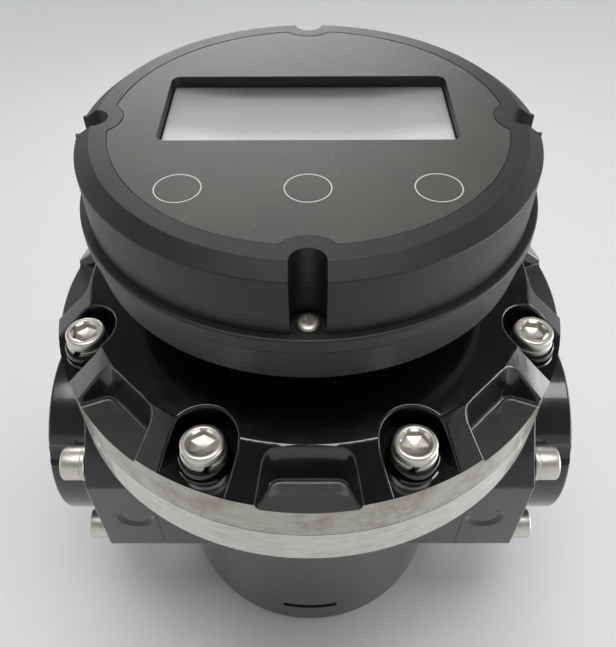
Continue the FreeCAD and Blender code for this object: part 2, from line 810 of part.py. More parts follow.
seat = size("bolt_seat")
group("cover_screws", cover_screw, flange_spots(seat + size("washer_thick"), SCREW_TURNS))
group("cover_lock_washers", lock_washer, flange_spots(seat, WASHER_TURNS))
for side, name in ((-1, "inlet"), (1, "outlet")):
    face = size("adapter_face")
    group(name + "_screws", side_screw, side_spots(side, face + size("washer_thick")))
    group(name + "_lock_washers", lock_washer, side_spots(side, face))


# Oval gears: the pitch line is r = p / (1 - e cos 2t), which rolls on its twin.
def pitch_point(turn_by):
    """Point, outward normal and forward tangent of the pitch line."""
    a, b = size("long_half_axis"), size("short_half_axis")
    e = (a - b) / (a + b)
    p = a * (1 - e)
    r = p / (1 - e * math.cos(2 * turn_by))
    slope = -2 * p * e * math.sin(2 * turn_by) / (1 - e * math.cos(2 * turn_by)) ** 2
    out = V(math.cos(turn_by), math.sin(turn_by), 0)
    across = V(-math.sin(turn_by), math.cos(turn_by), 0)
    tangent = (out * slope + across * r).normalize()
    normal = V(tangent.y, -tangent.x, 0)
    return out * r, normal, tangent


def tooth_angles():
    """Polar angles that share the pitch line into equal tooth pitches."""
    steps = 7200
    reach = [0.0]
    before = pitch_point(0)[0]
    for i in range(1, steps + 1):
        here = pitch_point(2 * math.pi * i / steps)[0]
        reach.append(reach[-1] + (here - before).Length)
        before = here
    pitch = reach[-1] / TEETH
    angles = []
    k = 0
    for tooth in range(TEETH):
        while reach[k + 1] < tooth * pitch:
            k += 1
        share = (tooth * pitch - reach[k]) / (reach[k + 1] - reach[k])
        angles.append(2 * math.pi * (k + share) / steps)
    return angles, pitch


TEETH = 26


def rotor_outline():
    """Straight-flanked teeth standing square on the pitch line."""
    angles, pitch = tooth_angles()
    lean = math.tan(math.radians(size("tooth_flank_deg")))
    half = (pitch - size("tooth_backlash")) / 4
    top, root = size("tooth_top"), size("tooth_root")
    corners = []
    for angle in angles:
        point, normal, tangent = pitch_point(angle)
        for across, rise in ((-half - root * lean, -root), (-half + top * lean, top),
                             (half - top * lean, top), (half + root * lean, -root)):
            corners.append(point + tangent * across + normal * rise)
    return Part.makePolygon(corners + corners[:1])


rotor_low = size("chamber_floor") + size("rotor_end_gap")
rotor_high = size("body_height") - size("rotor_end_gap")
gear_centre = size("gear_centre")
for side, way, start in (("a", 1, 90), ("b", -1, 0)):
    gear = Part.Face(rotor_outline()).extrude(V(0, 0, rotor_high - rotor_low))
    bore = Part.makeCylinder(size("shaft_radius") + size("bush_running_gap") + size("bush_wall"),
                             rotor_high - rotor_low)
    gear = gear.cut(bore)
    for end in (-1, 1):
        magnet_hole = Part.makeCylinder(
            size("magnet_radius"), size("magnet_long"),
            V(end * (size("long_half_axis") - size("magnet_inset")), 0,
              rotor_high - rotor_low - size("magnet_long")))
        gear = gear.cut(magnet_hole)
    gear.rotate(V(0, 0, 0), V(0, 0, 1), start)
    gear.translate(V(0, way * gear_centre, rotor_low))
    rotor = doc.addObject("Part::Feature", "rotor_" + side)
    rotor.Shape = gear
    keep("rotor_" + side, rotor)

magnet = cylinder("magnet", "sizes.magnet_radius", "sizes.magnet_long")
bush = tube("bush", "sizes.shaft_radius + sizes.bush_running_gap + sizes.bush_wall",
            "sizes.shaft_radius + sizes.bush_running_gap", "sizes.bush_length")
magnet_z = rotor_high - size("magnet_long")
magnet_reach = size("long_half_axis") - size("magnet_inset")
upright = FreeCAD.Rotation()
for side, way, along in (("a", 1, V(0, 1, 0)), ("b", -1, V(1, 0, 0))):
    centre = V(0, way * gear_centre, 0)
    group(f"rotor_{side}_magnets", magnet, [
        FreeCAD.Placement(centre + along * (end * magnet_reach) + V(0, 0, magnet_z), upright)
        for end in (-1, 1)])
    bush_low = size("chamber_floor") + size("bush_end_gap")
    bush_high = size("body_height") - size("bush_end_gap") - size("bush_length")
    group(f"rotor_{side}_bushes", bush, [
        FreeCAD.Placement(centre + V(0, 0, z), upright) for z in (bush_low, bush_high)])
    keep("rotor_shaft_" + side, cylinder(
        "rotor_shaft_" + side, "sizes.shaft_radius",
        "sizes.body_height + sizes.shaft_in_cover - sizes.chamber_floor + sizes.shaft_in_floor",
        y=ROTOR_Y[side], z="sizes.chamber_floor - sizes.shaft_in_floor"))

NOTCH_ANGLES = [0, 90, 180, 270]


def notch_cylinders(name, radius, height, z):
    """One upright cylinder at each of the four screw notches."""
    rods = []
    for angle in NOTCH_ANGLES:
        x, y = on_circle("sizes.notch_circle", angle)
        rods.append(cylinder(f"{name}_{angle}", radius, height, x, y, z))
    return rods


# Flat gasket under the register and the moulded register base with its ledge.
keep("base_gasket", tube("base_gasket", "sizes.neck_radius",
                         "sizes.neck_radius - sizes.base_gasket_width",
                         "sizes.base_gasket_thick", z="sizes.neck_top"))
groove_height = "sizes.ledge - sizes.base_groove_drop"
base_blank = turned("base_blank", [
    ("0", "sizes.base_bottom"),
    ("sizes.base_foot_radius", "sizes.base_bottom"),
    ("sizes.base_side_radius", "sizes.base_bottom + 2.5"),
    ("sizes.base_ledge_radius - 0.3", groove_height),
    ("sizes.base_ledge_radius - 0.7", groove_height),
    ("sizes.base_ledge_radius - 0.7", groove_height + " + 0.5"),
    ("sizes.base_ledge_radius", groove_height + " + 0.5"),
    ("sizes.base_ledge_radius", "sizes.ledge"),
    ("sizes.base_side_radius - sizes.base_wall", "sizes.ledge"),
    ("sizes.base_side_radius - sizes.base_wall", "sizes.base_inside"),
    ("0", "sizes.base_inside")])
rounded(base_blank, "ledge_edge", "sizes.ledge_round",
        lambda edge: is_circle(edge, size("base_ledge_radius"), size("ledge")))
base_bosses = notch_cylinders("base_boss", "sizes.notch_radius + sizes.notch_wall - 1",
                              "sizes.tab_seat - sizes.base_inside + 1", "sizes.base_inside - 1")
boss_limit = cylinder("boss_limit", "sizes.base_side_radius - 0.5", "40",
                      z="sizes.base_inside - 1")
base_full = fuse("base_full", base_blank,
                 common("base_boss_group", fuse("boss_rods", *base_bosses), boss_limit))
tab_rods = notch_cylinders("tab_room", "sizes.notch_radius + sizes.notch_wall + sizes.notch_fit",
                           "20", "sizes.tab_seat")
tab_room = common("tab_rooms", fuse("tab_rods", *tab_rods),
                  cylinder("tab_limit", "sizes.lid_radius + sizes.notch_fit", "30",
                           z="sizes.tab_seat"))
base_tools = [tab_room]
base_tools += notch_cylinders("boss_pilot", "sizes.lid_screw_radius", "40",
                              "sizes.notch_floor - sizes.lid_screw_long - 0.5")
base_tools.append(cylinder("wire_hole", "sizes.wire_hole_radius", "20",
                           z="sizes.base_bottom - 1"))
for index in range(4):
    x, y = on_circle("sizes.base_screw_circle", 45 + 90 * index)
    base_tools.append(cylinder(f"base_hole_{index}", "sizes.small_screw_radius + 0.25", "20", x, y,
                               "sizes.base_bottom - 1"))
keep("register_base", cut("register_base", base_full, *base_tools))

gasket_ring = tube("gasket_ring", "sizes.lid_radius - sizes.lid_gasket_inset",
                   "sizes.lid_radius - sizes.lid_gasket_inset - sizes.lid_gasket_width",
                   "sizes.lid_gasket_thick", z="sizes.ledge")
keep("lid_gasket", cut("lid_gasket", gasket_ring, *notch_cylinders(
    "gasket_gap", "sizes.notch_radius + sizes.notch_wall + sizes.notch_fit", "5",
    "sizes.ledge - 1")))

# Register lid: shell with a chamfered brow, four screw notches that run down to
# a clamping tab, the face recess, the display opening and the key holes.
lid_blank = turned("lid_blank", [
    ("0", "sizes.lid_ceiling"),
    ("sizes.lid_inside", "sizes.lid_ceiling"),
    ("sizes.lid_inside", "sizes.lid_bottom"),
    ("sizes.lid_radius", "sizes.lid_bottom"),
    ("sizes.lid_radius", "sizes.lid_top - sizes.lid_chamfer_tall"),
    ("sizes.lid_radius - sizes.lid_chamfer_wide", "sizes.lid_top"),
    ("0", "sizes.lid_top")])
rounded(lid_blank, "lid_brow", "sizes.lid_edge_round",
        lambda edge: is_circle(edge, size("lid_radius"), size("lid_top") - size("lid_chamfer_tall"))
        or is_circle(edge, size("lid_radius") - size("lid_chamfer_wide"), size("lid_top")))
columns = common("notch_columns", fuse("column_rods", *notch_cylinders(
    "column", "sizes.notch_radius + sizes.notch_wall",
    "sizes.lid_ceiling - sizes.tab_bottom + 1", "sizes.tab_bottom")),
    cylinder("column_limit", "sizes.lid_radius", "40", z="sizes.tab_bottom"))
POSTS = [(f"{sign_x}sizes.{row}_post_x", f"{sign_y}sizes.{row}_post_y")
         for row, sign_y in (("front", "-"), ("back", "")) for sign_x in ("-", "")]
posts = [cylinder(f"post_{index}", "sizes.post_radius",
                  "sizes.lid_ceiling - sizes.board_top + 1", x, y, "sizes.board_top")
         for index, (x, y) in enumerate(POSTS)]
lid_full = fuse("lid_full", lid_blank, columns, *posts)

lid_tools = notch_cylinders("notch", "sizes.notch_radius", "40", "sizes.notch_floor")
for angle in NOTCH_ANGLES:
    x, y = on_circle("sizes.notch_circle", angle)
    side_x, side_y = on_circle("sizes.notch_radius", angle - 90)
    lid_tools.append(box(f"notch_mouth_{angle}", "20", "2 * sizes.notch_radius", "40",
                         f"{x} + {side_x}", f"{y} + {side_y}", "sizes.notch_floor",
                         turn=FreeCAD.Rotation(V(0, 0, 1), angle)))
lid_tools += notch_cylinders("tab_hole", "sizes.lid_screw_radius + 0.3", "20",
                             "sizes.tab_bottom - 1")
lid_tools += [cylinder(f"post_pilot_{index}", "sizes.board_screw_radius",
                       "sizes.board_screw_long", x, y, "sizes.board_top - 1")
              for index, (x, y) in enumerate(POSTS)]
face_bumps = notch_cylinders("face_bump", "sizes.overlay_bump - sizes.overlay_gap", "5",
                             "sizes.overlay_bottom - 1")
face_disc = cylinder("face_disc", "sizes.overlay_radius + sizes.overlay_gap", "5",
                     z="sizes.overlay_bottom")
lid_tools.append(softened("face_recess_soft", cut("face_recess", face_disc, *face_bumps),
                          ("overlay_corner", lambda edge, shape: is_upright(edge))))
opening = plate("display_opening", "-sizes.window_half_wide", "sizes.window_half_wide",
                "sizes.window_front", "sizes.window_back", "sizes.lid_ceiling - 1", "10",
                "sizes.window_corner")
lid_tools.append(opening)
KEYS = (("left", "-sizes.key_spacing"), ("centre", "0"), ("right", "sizes.key_spacing"))
key_holes = [cylinder("key_hole_" + name, "sizes.key_radius + sizes.key_gap", "20", x,
                      "-sizes.key_row", "sizes.lid_ceiling - 1") for name, x in KEYS]
lid_tools += key_holes
keep("register_lid", cut("register_lid", lid_full, *lid_tools))

# Face film in its recess, cut out round the notches, the display and the keys.
film_disc = cylinder("film_disc", "sizes.overlay_radius", "sizes.overlay_thick",
                     z="sizes.overlay_bottom")
film_bumps = notch_cylinders("film_bump", "sizes.overlay_bump", "5", "sizes.overlay_bottom - 1")
film = softened("film_soft", cut("film", film_disc, *film_bumps),
                ("overlay_corner", lambda edge, shape: is_upright(edge) and math.hypot(
                    edge.Vertexes[0].X, edge.Vertexes[0].Y) > size("overlay_radius") - 0.5))
film_opening = plate("film_opening", "-sizes.window_half_wide", "sizes.window_half_wide",
                     "sizes.window_front", "sizes.window_back", "sizes.overlay_bottom - 1", "5",
                     "sizes.window_corner")
film_keys = [cylinder("film_key_" + name, "sizes.key_radius + sizes.key_gap", "5", x,
                      "-sizes.key_row", "sizes.overlay_bottom - 1") for name, x in KEYS]
keep("face_overlay", cut("face_overlay", film, film_opening, *film_keys))

# Clear pane bonded under the opening, then the display glass in its holder.
keep("display_window", plate(
    "display_window", "-sizes.window_half_wide - sizes.window_lap",
    "sizes.window_half_wide + sizes.window_lap", "sizes.window_front - sizes.window_lap",
    "sizes.window_back + sizes.window_lap", "sizes.lid_ceiling - sizes.window_thick",
    "sizes.window_thick", "sizes.window_corner"))
keep("lcd_glass", plate("lcd_glass", "-sizes.lcd_half_wide", "sizes.lcd_half_wide",
                        "sizes.lcd_front", "sizes.lcd_back", "sizes.lcd_top - sizes.lcd_thick",
                        "sizes.lcd_thick"))
holder_outside = plate("holder_outside", "-sizes.lcd_half_wide - sizes.holder_wall",
                       "sizes.lcd_half_wide + sizes.holder_wall",
                       "sizes.lcd_front - sizes.holder_wall",
                       "sizes.lcd_back + sizes.holder_wall", "sizes.board_top",
                       "sizes.lcd_top - sizes.board_top - 0.5", "1.5")
holder_room = plate("holder_room", "-sizes.lcd_half_wide", "sizes.lcd_half_wide",
                    "sizes.lcd_front", "sizes.lcd_back", "sizes.lcd_top - sizes.lcd_thick", "10")
keep("lcd_holder", cut("lcd_holder", holder_outside, holder_room))

board_disc = cylinder("board_disc", "sizes.board_radius", "sizes.board_thick",
                      z="sizes.board_top - sizes.board_thick")
board_holes = [cylinder(f"board_hole_{index}", "sizes.board_screw_radius + 0.2", "10", x, y,
                        "sizes.board_top - 5") for index, (x, y) in enumerate(POSTS)]
keep("display_board", cut("display_board", board_disc, *board_holes))

# Keys: a cap flush with the face, a flange under the lid and a stem to its switch.
stud_top = "sizes.board_top + sizes.switch_high + sizes.switch_stud_high"
stem_bottom = stud_top + " + sizes.key_travel_gap"
flange_bottom = "sizes.lid_ceiling - sizes.key_gap - sizes.key_flange_thick"
for name, x in KEYS:
    cap = cylinder(f"cap_{name}", "sizes.key_radius",
                   "sizes.lid_top - 0.1 - (" + flange_bottom + ")", x, "-sizes.key_row",
                   flange_bottom)
    flange = cylinder(f"key_flange_{name}", "sizes.key_radius + sizes.key_flange",
                      "sizes.key_flange_thick", x, "-sizes.key_row", flange_bottom)
    stem = cylinder(f"stem_{name}", "sizes.key_stem_radius",
                    f"{flange_bottom} - ({stem_bottom})", x, "-sizes.key_row", stem_bottom)
    keep("key_" + name, fuse("key_" + name, cap, flange, stem))

switch_case = box("switch_case", "sizes.switch_side", "sizes.switch_side", "sizes.switch_high",
                  "-sizes.switch_side / 2", "-sizes.switch_side / 2")
switch_stud = cylinder("switch_stud", "sizes.switch_stud_radius", "sizes.switch_stud_high",
                       z="sizes.switch_high")
switch = fuse("switch", switch_case, switch_stud)
group("key_switches", switch, [
    FreeCAD.Placement(V(step * size("key_spacing"), -size("key_row"), size("board_top")), upright)
    for step in (-1, 0, 1)])


def pan_screw(name, length, head_radius, head_high, shank):
    """Pan head screw standing on its seat at the origin, with a cross recess."""
    blank = turned(name + "_blank", [
        ("0", f"-{length}"),
        (f"{shank} * 0.6", f"-{length}"),
        (shank, f"-{length} + {shank}"),
        (shank, "0"),
        (head_radius, "0"),
        (head_radius, f"{head_high} * 0.45"),
        (f"{head_radius} * 0.78", f"{head_high} * 0.88"),
        (f"{head_radius} * 0.45", head_high),
        ("0", head_high)])
    wide, slim = f"{head_radius} * 1.1", f"{head_radius} * 0.26"
    blades = [box(f"{name}_blade_{turn}", wide, slim, "5",
                  f"-{wide} / 2" if turn == 0 else f"{slim} / 2",
                  f"-{slim} / 2" if turn == 0 else f"-{wide} / 2",
                  f"{head_high} * 0.4", turn=FreeCAD.Rotation(V(0, 0, 1), turn))
              for turn in (0, 90)]
    return cut(name, blank, *blades)


lid_screw = pan_screw("lid_screw", "sizes.lid_screw_long", "sizes.lid_screw_head_radius",
                      "sizes.lid_screw_head_high", "sizes.lid_screw_radius")
base_screw = pan_screw("base_screw", "sizes.small_screw_long", "sizes.small_head_radius",
                       "sizes.small_head_high", "sizes.small_screw_radius")
board_screw = pan_screw("board_screw", "sizes.board_screw_long", "2 * sizes.board_screw_radius",
                        "1.8 * sizes.board_screw_radius", "sizes.board_screw_radius")


def circle_spots(radius, angles, z):
    return [FreeCAD.Placement(V(radius * math.cos(math.radians(angle)),
                                radius * math.sin(math.radians(angle)), z),
                              FreeCAD.Rotation(V(0, 0, 1), 31 * index))
            for index, angle in enumerate(angles)]


group("lid_screws", lid_screw, circle_spots(size("notch_circle"), NOTCH_ANGLES,
                                            size("notch_floor")))
group("base_screws", base_screw, circle_spots(size("base_screw_circle"), (45, 135, 225, 315),
                                              size("base_inside")))
head_down = FreeCAD.Rotation(V(1, 0, 0), 180)
group("board_screws", board_screw, [
    FreeCAD.Placement(V(side * size(row + "_post_x"), way * size(row + "_post_y"),
                        size("board_top") - size("board_thick")), head_down)
    for row, way in (("front", -1), ("back", 1)) for side in (-1, 1)])

# Battery tray on the base floor with two cells and their end contacts.
tray_x = "sizes.cell_long / 2 + sizes.contact_thick"
tray_y = "sizes.cell_spacing / 2 + sizes.cell_radius + sizes.cell_side_gap"
tray_outside = plate("tray_outside", f"-({tray_x}) - sizes.tray_wall",
                     f"{tray_x} + sizes.tray_wall", f"-({tray_y}) - sizes.tray_wall",
                     f"{tray_y} + sizes.tray_wall", "sizes.base_inside", "sizes.tray_high", "2")
tray_room = plate("tray_room", f"-({tray_x})", tray_x, f"-({tray_y})", tray_y,
                  "sizes.base_inside + sizes.tray_wall", "30")
keep("battery_tray", cut("battery_tray", tray_outside, tray_room))
cell_z = size("base_inside") + size("tray_wall") + size("cell_radius")
cell = cylinder("cell", "sizes.cell_radius", "sizes.cell_long", turn=TURN_X)
group("battery_cells", cell, [
    FreeCAD.Placement(V(-size("cell_long") / 2, side * size("cell_spacing") / 2, cell_z), upright)
    for side in (-1, 1)])
contact = box("contact", "sizes.contact_thick", "sizes.contact_side", "sizes.contact_side",
              "0", "-sizes.contact_side / 2", "-sizes.contact_side / 2")
group("battery_contacts", contact, [
    FreeCAD.Placement(V(x, side * size("cell_spacing") / 2, cell_z - 1), upright)
    for x in (-size("cell_long") / 2 - size("contact_thick"), size("cell_long") / 2)
    for side in (-1, 1)])

# Pulse sensor: a small board on the floor of the well with two reed switches.
keep("sensor_board", cylinder("sensor_board", "sizes.sensor_board_radius", "sizes.board_thick",
                              z="sizes.well_floor"))
reed = cylinder("reed", "sizes.reed_radius", "sizes.reed_long", turn=TURN_X)
reed_z = size("well_floor") + size("board_thick") + size("reed_radius")
group("reed_switches", reed, [
    FreeCAD.Placement(V(-size("reed_long") / 2, side * size("reed_spacing") / 2, reed_z), upright)
    for side in (-1, 1)])

doc.recompute()
for item in doc.Objects:
    if "Invalid" in item.State or "Error" in item.State:
        raise RuntimeError(f"{item.Name} did not compute: {item.State}")
for piece in pieces:
    if piece.Shape.isNull() or not piece.Shape.isValid():
        raise RuntimeError(f"{piece.Label} has no valid shape")
os.makedirs("parts", exist_ok=True)
for piece in pieces:
    piece.Shape.exportStep(f"parts/{piece.Label}.step")
    solids = len(piece.Shape.Solids)
    print(f"{piece.Label}: {solids} solids, {piece.Shape.Volume / 1000:.2f} cm3")
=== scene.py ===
import math

import bmesh
import bpy
from mathutils import Matrix, Vector


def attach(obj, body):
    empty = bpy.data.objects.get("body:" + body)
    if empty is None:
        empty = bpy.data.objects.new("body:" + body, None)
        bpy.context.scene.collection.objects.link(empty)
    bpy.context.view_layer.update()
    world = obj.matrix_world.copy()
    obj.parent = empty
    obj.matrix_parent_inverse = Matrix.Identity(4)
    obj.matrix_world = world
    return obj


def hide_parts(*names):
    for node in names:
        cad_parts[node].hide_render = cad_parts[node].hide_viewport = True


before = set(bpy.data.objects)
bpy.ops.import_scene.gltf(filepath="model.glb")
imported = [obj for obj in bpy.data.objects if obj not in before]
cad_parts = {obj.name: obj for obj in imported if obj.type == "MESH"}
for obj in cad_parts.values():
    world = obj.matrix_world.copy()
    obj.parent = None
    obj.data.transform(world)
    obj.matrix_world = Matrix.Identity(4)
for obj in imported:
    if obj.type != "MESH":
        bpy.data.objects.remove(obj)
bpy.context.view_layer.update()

# The photograph's camera: held above the front of the meter and tipped 46.5
# degrees down, close enough for the round face to look wider than the flange.
MM = 0.001
scene = bpy.context.scene
scene.view_settings.view_transform = "Standard"
camera_data = bpy.data.cameras.new("photo_camera")
camera_data.lens = 38.21
camera_data.clip_start = 0.01
camera = bpy.data.objects.new("photo_camera", camera_data)
scene.collection.objects.link(camera)
scene.camera = camera
standpoint = Vector((0.85, -187.69, 344.09)) * MM
pitch, yaw, roll = (math.radians(angle) for angle in (46.507, -0.424, -0.413))
ahead = Vector((math.sin(yaw) * math.cos(pitch), math.cos(yaw) * math.cos(pitch),
                -math.sin(pitch)))
level = Vector((math.cos(yaw), -math.sin(yaw), 0))
rise = level.cross(ahead)
right = math.cos(roll) * level + math.sin(roll) * rise
up = math.cos(roll) * rise - math.sin(roll) * level
facing = Matrix((right, up, -ahead)).transposed().to_4x4()
camera.matrix_world = Matrix.Translation(standpoint) @ facing


# The white painted table that the meter stands on, and the pale wall that sweeps up all
# round it. Both are matt and plain, so that the black paint has something light to mirror.
def linear(code):
    """Turns an sRGB hex colour into the linear one that the shaders take."""
    parts = [int(code[i:i + 2], 16) / 255 for i in (1, 3, 5)]
    return [p / 12.92 if p <= 0.04045 else ((p + 0.055) / 1.055) ** 2.4
            for p in parts] + [1.0]


def add(tree, kind, *inputs, give=None, named=None, **settings):
    """Adds one node with its settings and links. Its live inputs come in order or by
    name, each as a value or as the output to link. Gives back one output, or all."""
    node = tree.nodes.new(kind)
    for name, value in settings.items():
        setattr(node, name, value)
    live = [socket for socket in node.inputs if socket.enabled]
    by_name = [(node.inputs[name], value) for name, value in (named or {}).items()]
    for socket, value in [*zip(live, inputs), *by_name]:
        if isinstance(value, bpy.types.NodeSocket):
            tree.links.new(value, socket)
        elif value is not None:
            socket.default_value = value
    if give == "all":
        return list(node.outputs)
    if give:
        return node.outputs[give]
    return next((out for out in node.outputs if out.enabled), None)


def blank(name):
    """A new material and its empty node tree."""
    material = bpy.data.materials.new(name)
    material.use_nodes = True
    material.node_tree.nodes.clear()
    return material, material.node_tree


# Eggshell paint gives a soft white without shine, in faint broad clouds. A noise takes a
# place, scale, detail and roughness, and at scale 1 its lumps are 0.6 wide.
table_paint, tree = blank("white_table_paint")
lump = 0.6
cloud_size = 200 * MM
clouds = add(tree, "ShaderNodeTexNoise", add(tree, "ShaderNodeTexCoord", give="Object"),
             lump / cloud_size, 3.0)
white = add(tree, "ShaderNodeMix", clouds, linear("#e6e7e7"), linear("#edeeee"),
            data_type="RGBA")
add(tree, "ShaderNodeOutputMaterial", add(tree, "ShaderNodeBsdfPrincipled", named={
    "Base Color": white, "Roughness": 0.5, "IOR": 1.45}))

wall_radius, wall_top, bend, around = 1.45, 0.95, 0.45, 96
path = [(wall_radius - bend + bend * math.sin(math.radians(turn)),
         bend - bend * math.cos(math.radians(turn))) for turn in range(0, 91, 6)]
path.append((wall_radius, wall_top))
bm = bmesh.new()
rings = [[bm.verts.new((r * math.cos(math.tau * i / around),
                        r * math.sin(math.tau * i / around), z)) for i in range(around)]
         for r, z in path]
bm.faces.new(rings[0])
for inner, outer in zip(rings, rings[1:]):
    for i in range(around):
        j = (i + 1) % around
        bm.faces.new((inner[i], outer[i], outer[j], inner[j])).smooth = True
sweep_mesh = bpy.data.meshes.new("table_and_wall")
bm.to_mesh(sweep_mesh)
bm.free()
sweep_mesh.materials.append(table_paint)
sweep = bpy.data.objects.new("table_and_wall", sweep_mesh)
scene.collection.objects.link(sweep)

# Soft room light: a panel overhead, a low window behind that lays a sheen over the face,
# and broad low windows at the sides, the right one stronger. The ceiling behind and the
# viewer's side of the room are dim, which is what leaves the upward paint black.
world = bpy.data.worlds.new("room")
scene.world = world
world.use_nodes = True
sky = world.node_tree
sky.nodes.clear()
# The world's strength follows how high a ray points, from 0 for level to 1 for straight
# up: the walls are light up to 0.3 and dim above 0.5, and the ceiling is light overhead.
way_z = add(sky, "ShaderNodeSeparateXYZ", add(sky, "ShaderNodeTexCoord", give="Generated"),
            give="Z")
walls = add(sky, "ShaderNodeMapRange", way_z, 0.3, 0.5, 0.7, 0.1)
ceiling = add(sky, "ShaderNodeMapRange", way_z, 0.88, 0.98, 0.0, 0.8)
strength = add(sky, "ShaderNodeMath", walls, ceiling, operation="ADD")
add(sky, "ShaderNodeOutputWorld",
    add(sky, "ShaderNodeBackground", linear("#f8f9fb"), strength))


def panel(name, spot, aim, wide, deep, watts, spread=180):
    """Soft rectangular light at spot, turned towards aim, its beam spread in degrees."""
    lamp = bpy.data.lights.new(name, "AREA")
    lamp.shape = "RECTANGLE"
    lamp.size, lamp.size_y = wide, deep
    lamp.energy = watts
    lamp.spread = math.radians(spread)
    holder = bpy.data.objects.new(name, lamp)
    scene.collection.objects.link(holder)
    holder.location = spot
    holder.rotation_mode = "QUATERNION"
    holder.rotation_quaternion = (Vector(aim) - Vector(spot)).to_track_quat("-Z", "Y")
    holder.visible_camera = False


meter_middle, meter_face = (0.0, 0.0, 0.17), (0.0, 0.0, 0.22)
panel("ceiling_panel", (0.05, 0.0, 1.5), (0.05, 0.0, 0.0), wide=1.3, deep=0.5, watts=10.5)
panel("low_window", (-0.1, 0.98, 0.52), meter_face, wide=0.7, deep=0.2, watts=0.7,
      spread=75)
panel("right_window", (1.15, -0.05, 0.2), meter_middle, wide=1.1, deep=0.34, watts=4.4,
      spread=150)
panel("left_window", (-0.95, 0.1, 0.2), meter_middle, wide=0.7, deep=0.3, watts=0.35,
      spread=130)

# Body and cover castings and the two pipe adapters: iron poured in sand, bored and faced
# where the pieces meet. Their rim is turned bare in the lathe and the pipe threads are cut
# clean; all the rest is sprayed with thick black enamel.
enamel, tree = blank("black_enamel_on_cast_iron")
place = add(tree, "ShaderNodeTexCoord", give="Object")
x, y, z = add(tree, "ShaderNodeSeparateXYZ", place, give="all")

# Where the iron is bare: on the rim, as high as both flanges, and in the ports past
# the groove of the O-ring.
flange_edge, split_plane, flange_height = 91.42 * MM, 150.0 * MM, 15.75 * MM
port_height, bore_radius, groove_end = 82.0, 30.6 * MM, 68.0 * MM
paint_step = 0.1 * MM
from_axis = add(tree, "ShaderNodeVectorMath", add(tree, "ShaderNodeCombineXYZ", x, y),
                operation="LENGTH", give="Value")
on_edge = add(tree, "ShaderNodeMapRange", from_axis, flange_edge, flange_edge + paint_step)
over_split = add(tree, "ShaderNodeMath", z, split_plane, operation="SUBTRACT")
in_height = add(tree, "ShaderNodeMath", over_split, 0.0, flange_height, operation="COMPARE")
bare_rim = add(tree, "ShaderNodeMath", on_edge, in_height, operation="MULTIPLY")
over_port = add(tree, "ShaderNodeMath", z, port_height * MM, operation="SUBTRACT")
from_port = add(tree, "ShaderNodeVectorMath",
                add(tree, "ShaderNodeCombineXYZ", y, over_port),
                operation="LENGTH", give="Value")
within_bore = add(tree, "ShaderNodeMapRange", from_port, bore_radius,
                  bore_radius + paint_step, 1.0, 0.0)
out_along = add(tree, "ShaderNodeMath", x, operation="ABSOLUTE")
past_groove = add(tree, "ShaderNodeMath", out_along, groove_end, operation="GREATER_THAN")
in_port = add(tree, "ShaderNodeMath", within_bore, past_groove, operation="MULTIPLY")
bare = add(tree, "ShaderNodeMath", bare_rim, in_port, operation="MAXIMUM")
painted = add(tree, "ShaderNodeMath", 1.0, bare, operation="SUBTRACT")

# Enamel gives a wet black gloss, with orange peel over the grain of the sand mould and
# a little dust in broad clouds. The can below the block is painted a lighter grey: painted
# light that stands in for the glow of the white table round it.
peel_size, sand_size, dust_size, can_top = 1.8 * MM, 5.0 * MM, 26.0 * MM, 132.0 * MM
peel = add(tree, "ShaderNodeTexNoise", place, lump / peel_size, 2.0)
sand = add(tree, "ShaderNodeTexNoise", place, lump / sand_size, 4.0, 0.55)
dust = add(tree, "ShaderNodeTexNoise", place, lump / dust_size, 5.0, 0.65)
dusty = add(tree, "ShaderNodeMapRange", dust, 0.4, 0.72)
thick_coat = add(tree, "ShaderNodeMix", dusty, linear("#080907"), linear("#0f100d"),
                 data_type="RGBA")
# Painted light: the can's lighter grey stands in for the table's glow.
can_painted_light = add(tree, "ShaderNodeMix", dusty, linear("#232626"), linear("#2c2f2f"),
                data_type="RGBA")
on_can = add(tree, "ShaderNodeMath", z, can_top, operation="LESS_THAN")
colour = add(tree, "ShaderNodeMix", on_can, thick_coat, can_painted_light, data_type="RGBA")

# The floors of the cored pockets are drawn a lighter grey, and duller.
pocket_floor, floor_slope = 163.3 * MM, 1.2 * MM
tilt = add(tree, "ShaderNodeSeparateXYZ",
           add(tree, "ShaderNodeNewGeometry", give="Normal"), give="Z")
at_floor = add(tree, "ShaderNodeMath", z, pocket_floor, floor_slope, operation="COMPARE")
in_pocket = add(tree, "ShaderNodeMath", at_floor,
                add(tree, "ShaderNodeMapRange", tilt, 0.55, 0.95), operation="MULTIPLY")
pocket_grey = add(tree, "ShaderNodeMix", sand, linear("#232421"), linear("#33332f"),
                  data_type="RGBA")
colour = add(tree, "ShaderNodeMix", in_pocket, colour, pocket_grey, data_type="RGBA")

# The paint has cracked along the joint of each adapter with the body.
adapter_face, crack_half, crack_edge = 63.0 * MM, 0.3 * MM, 0.6 * MM
along_joint = add(tree, "ShaderNodeMath", out_along, adapter_face, operation="SUBTRACT")
off_joint = add(tree, "ShaderNodeMath", along_joint, operation="ABSOLUTE")
crack = add(tree, "ShaderNodeMapRange", off_joint, crack_half, crack_edge, 1.0, 0.0)
crack = add(tree, "ShaderNodeMath", crack, on_can, operation="MULTIPLY")
colour = add(tree, "ShaderNodeMix", crack, colour, linear("#020202"), data_type="RGBA")

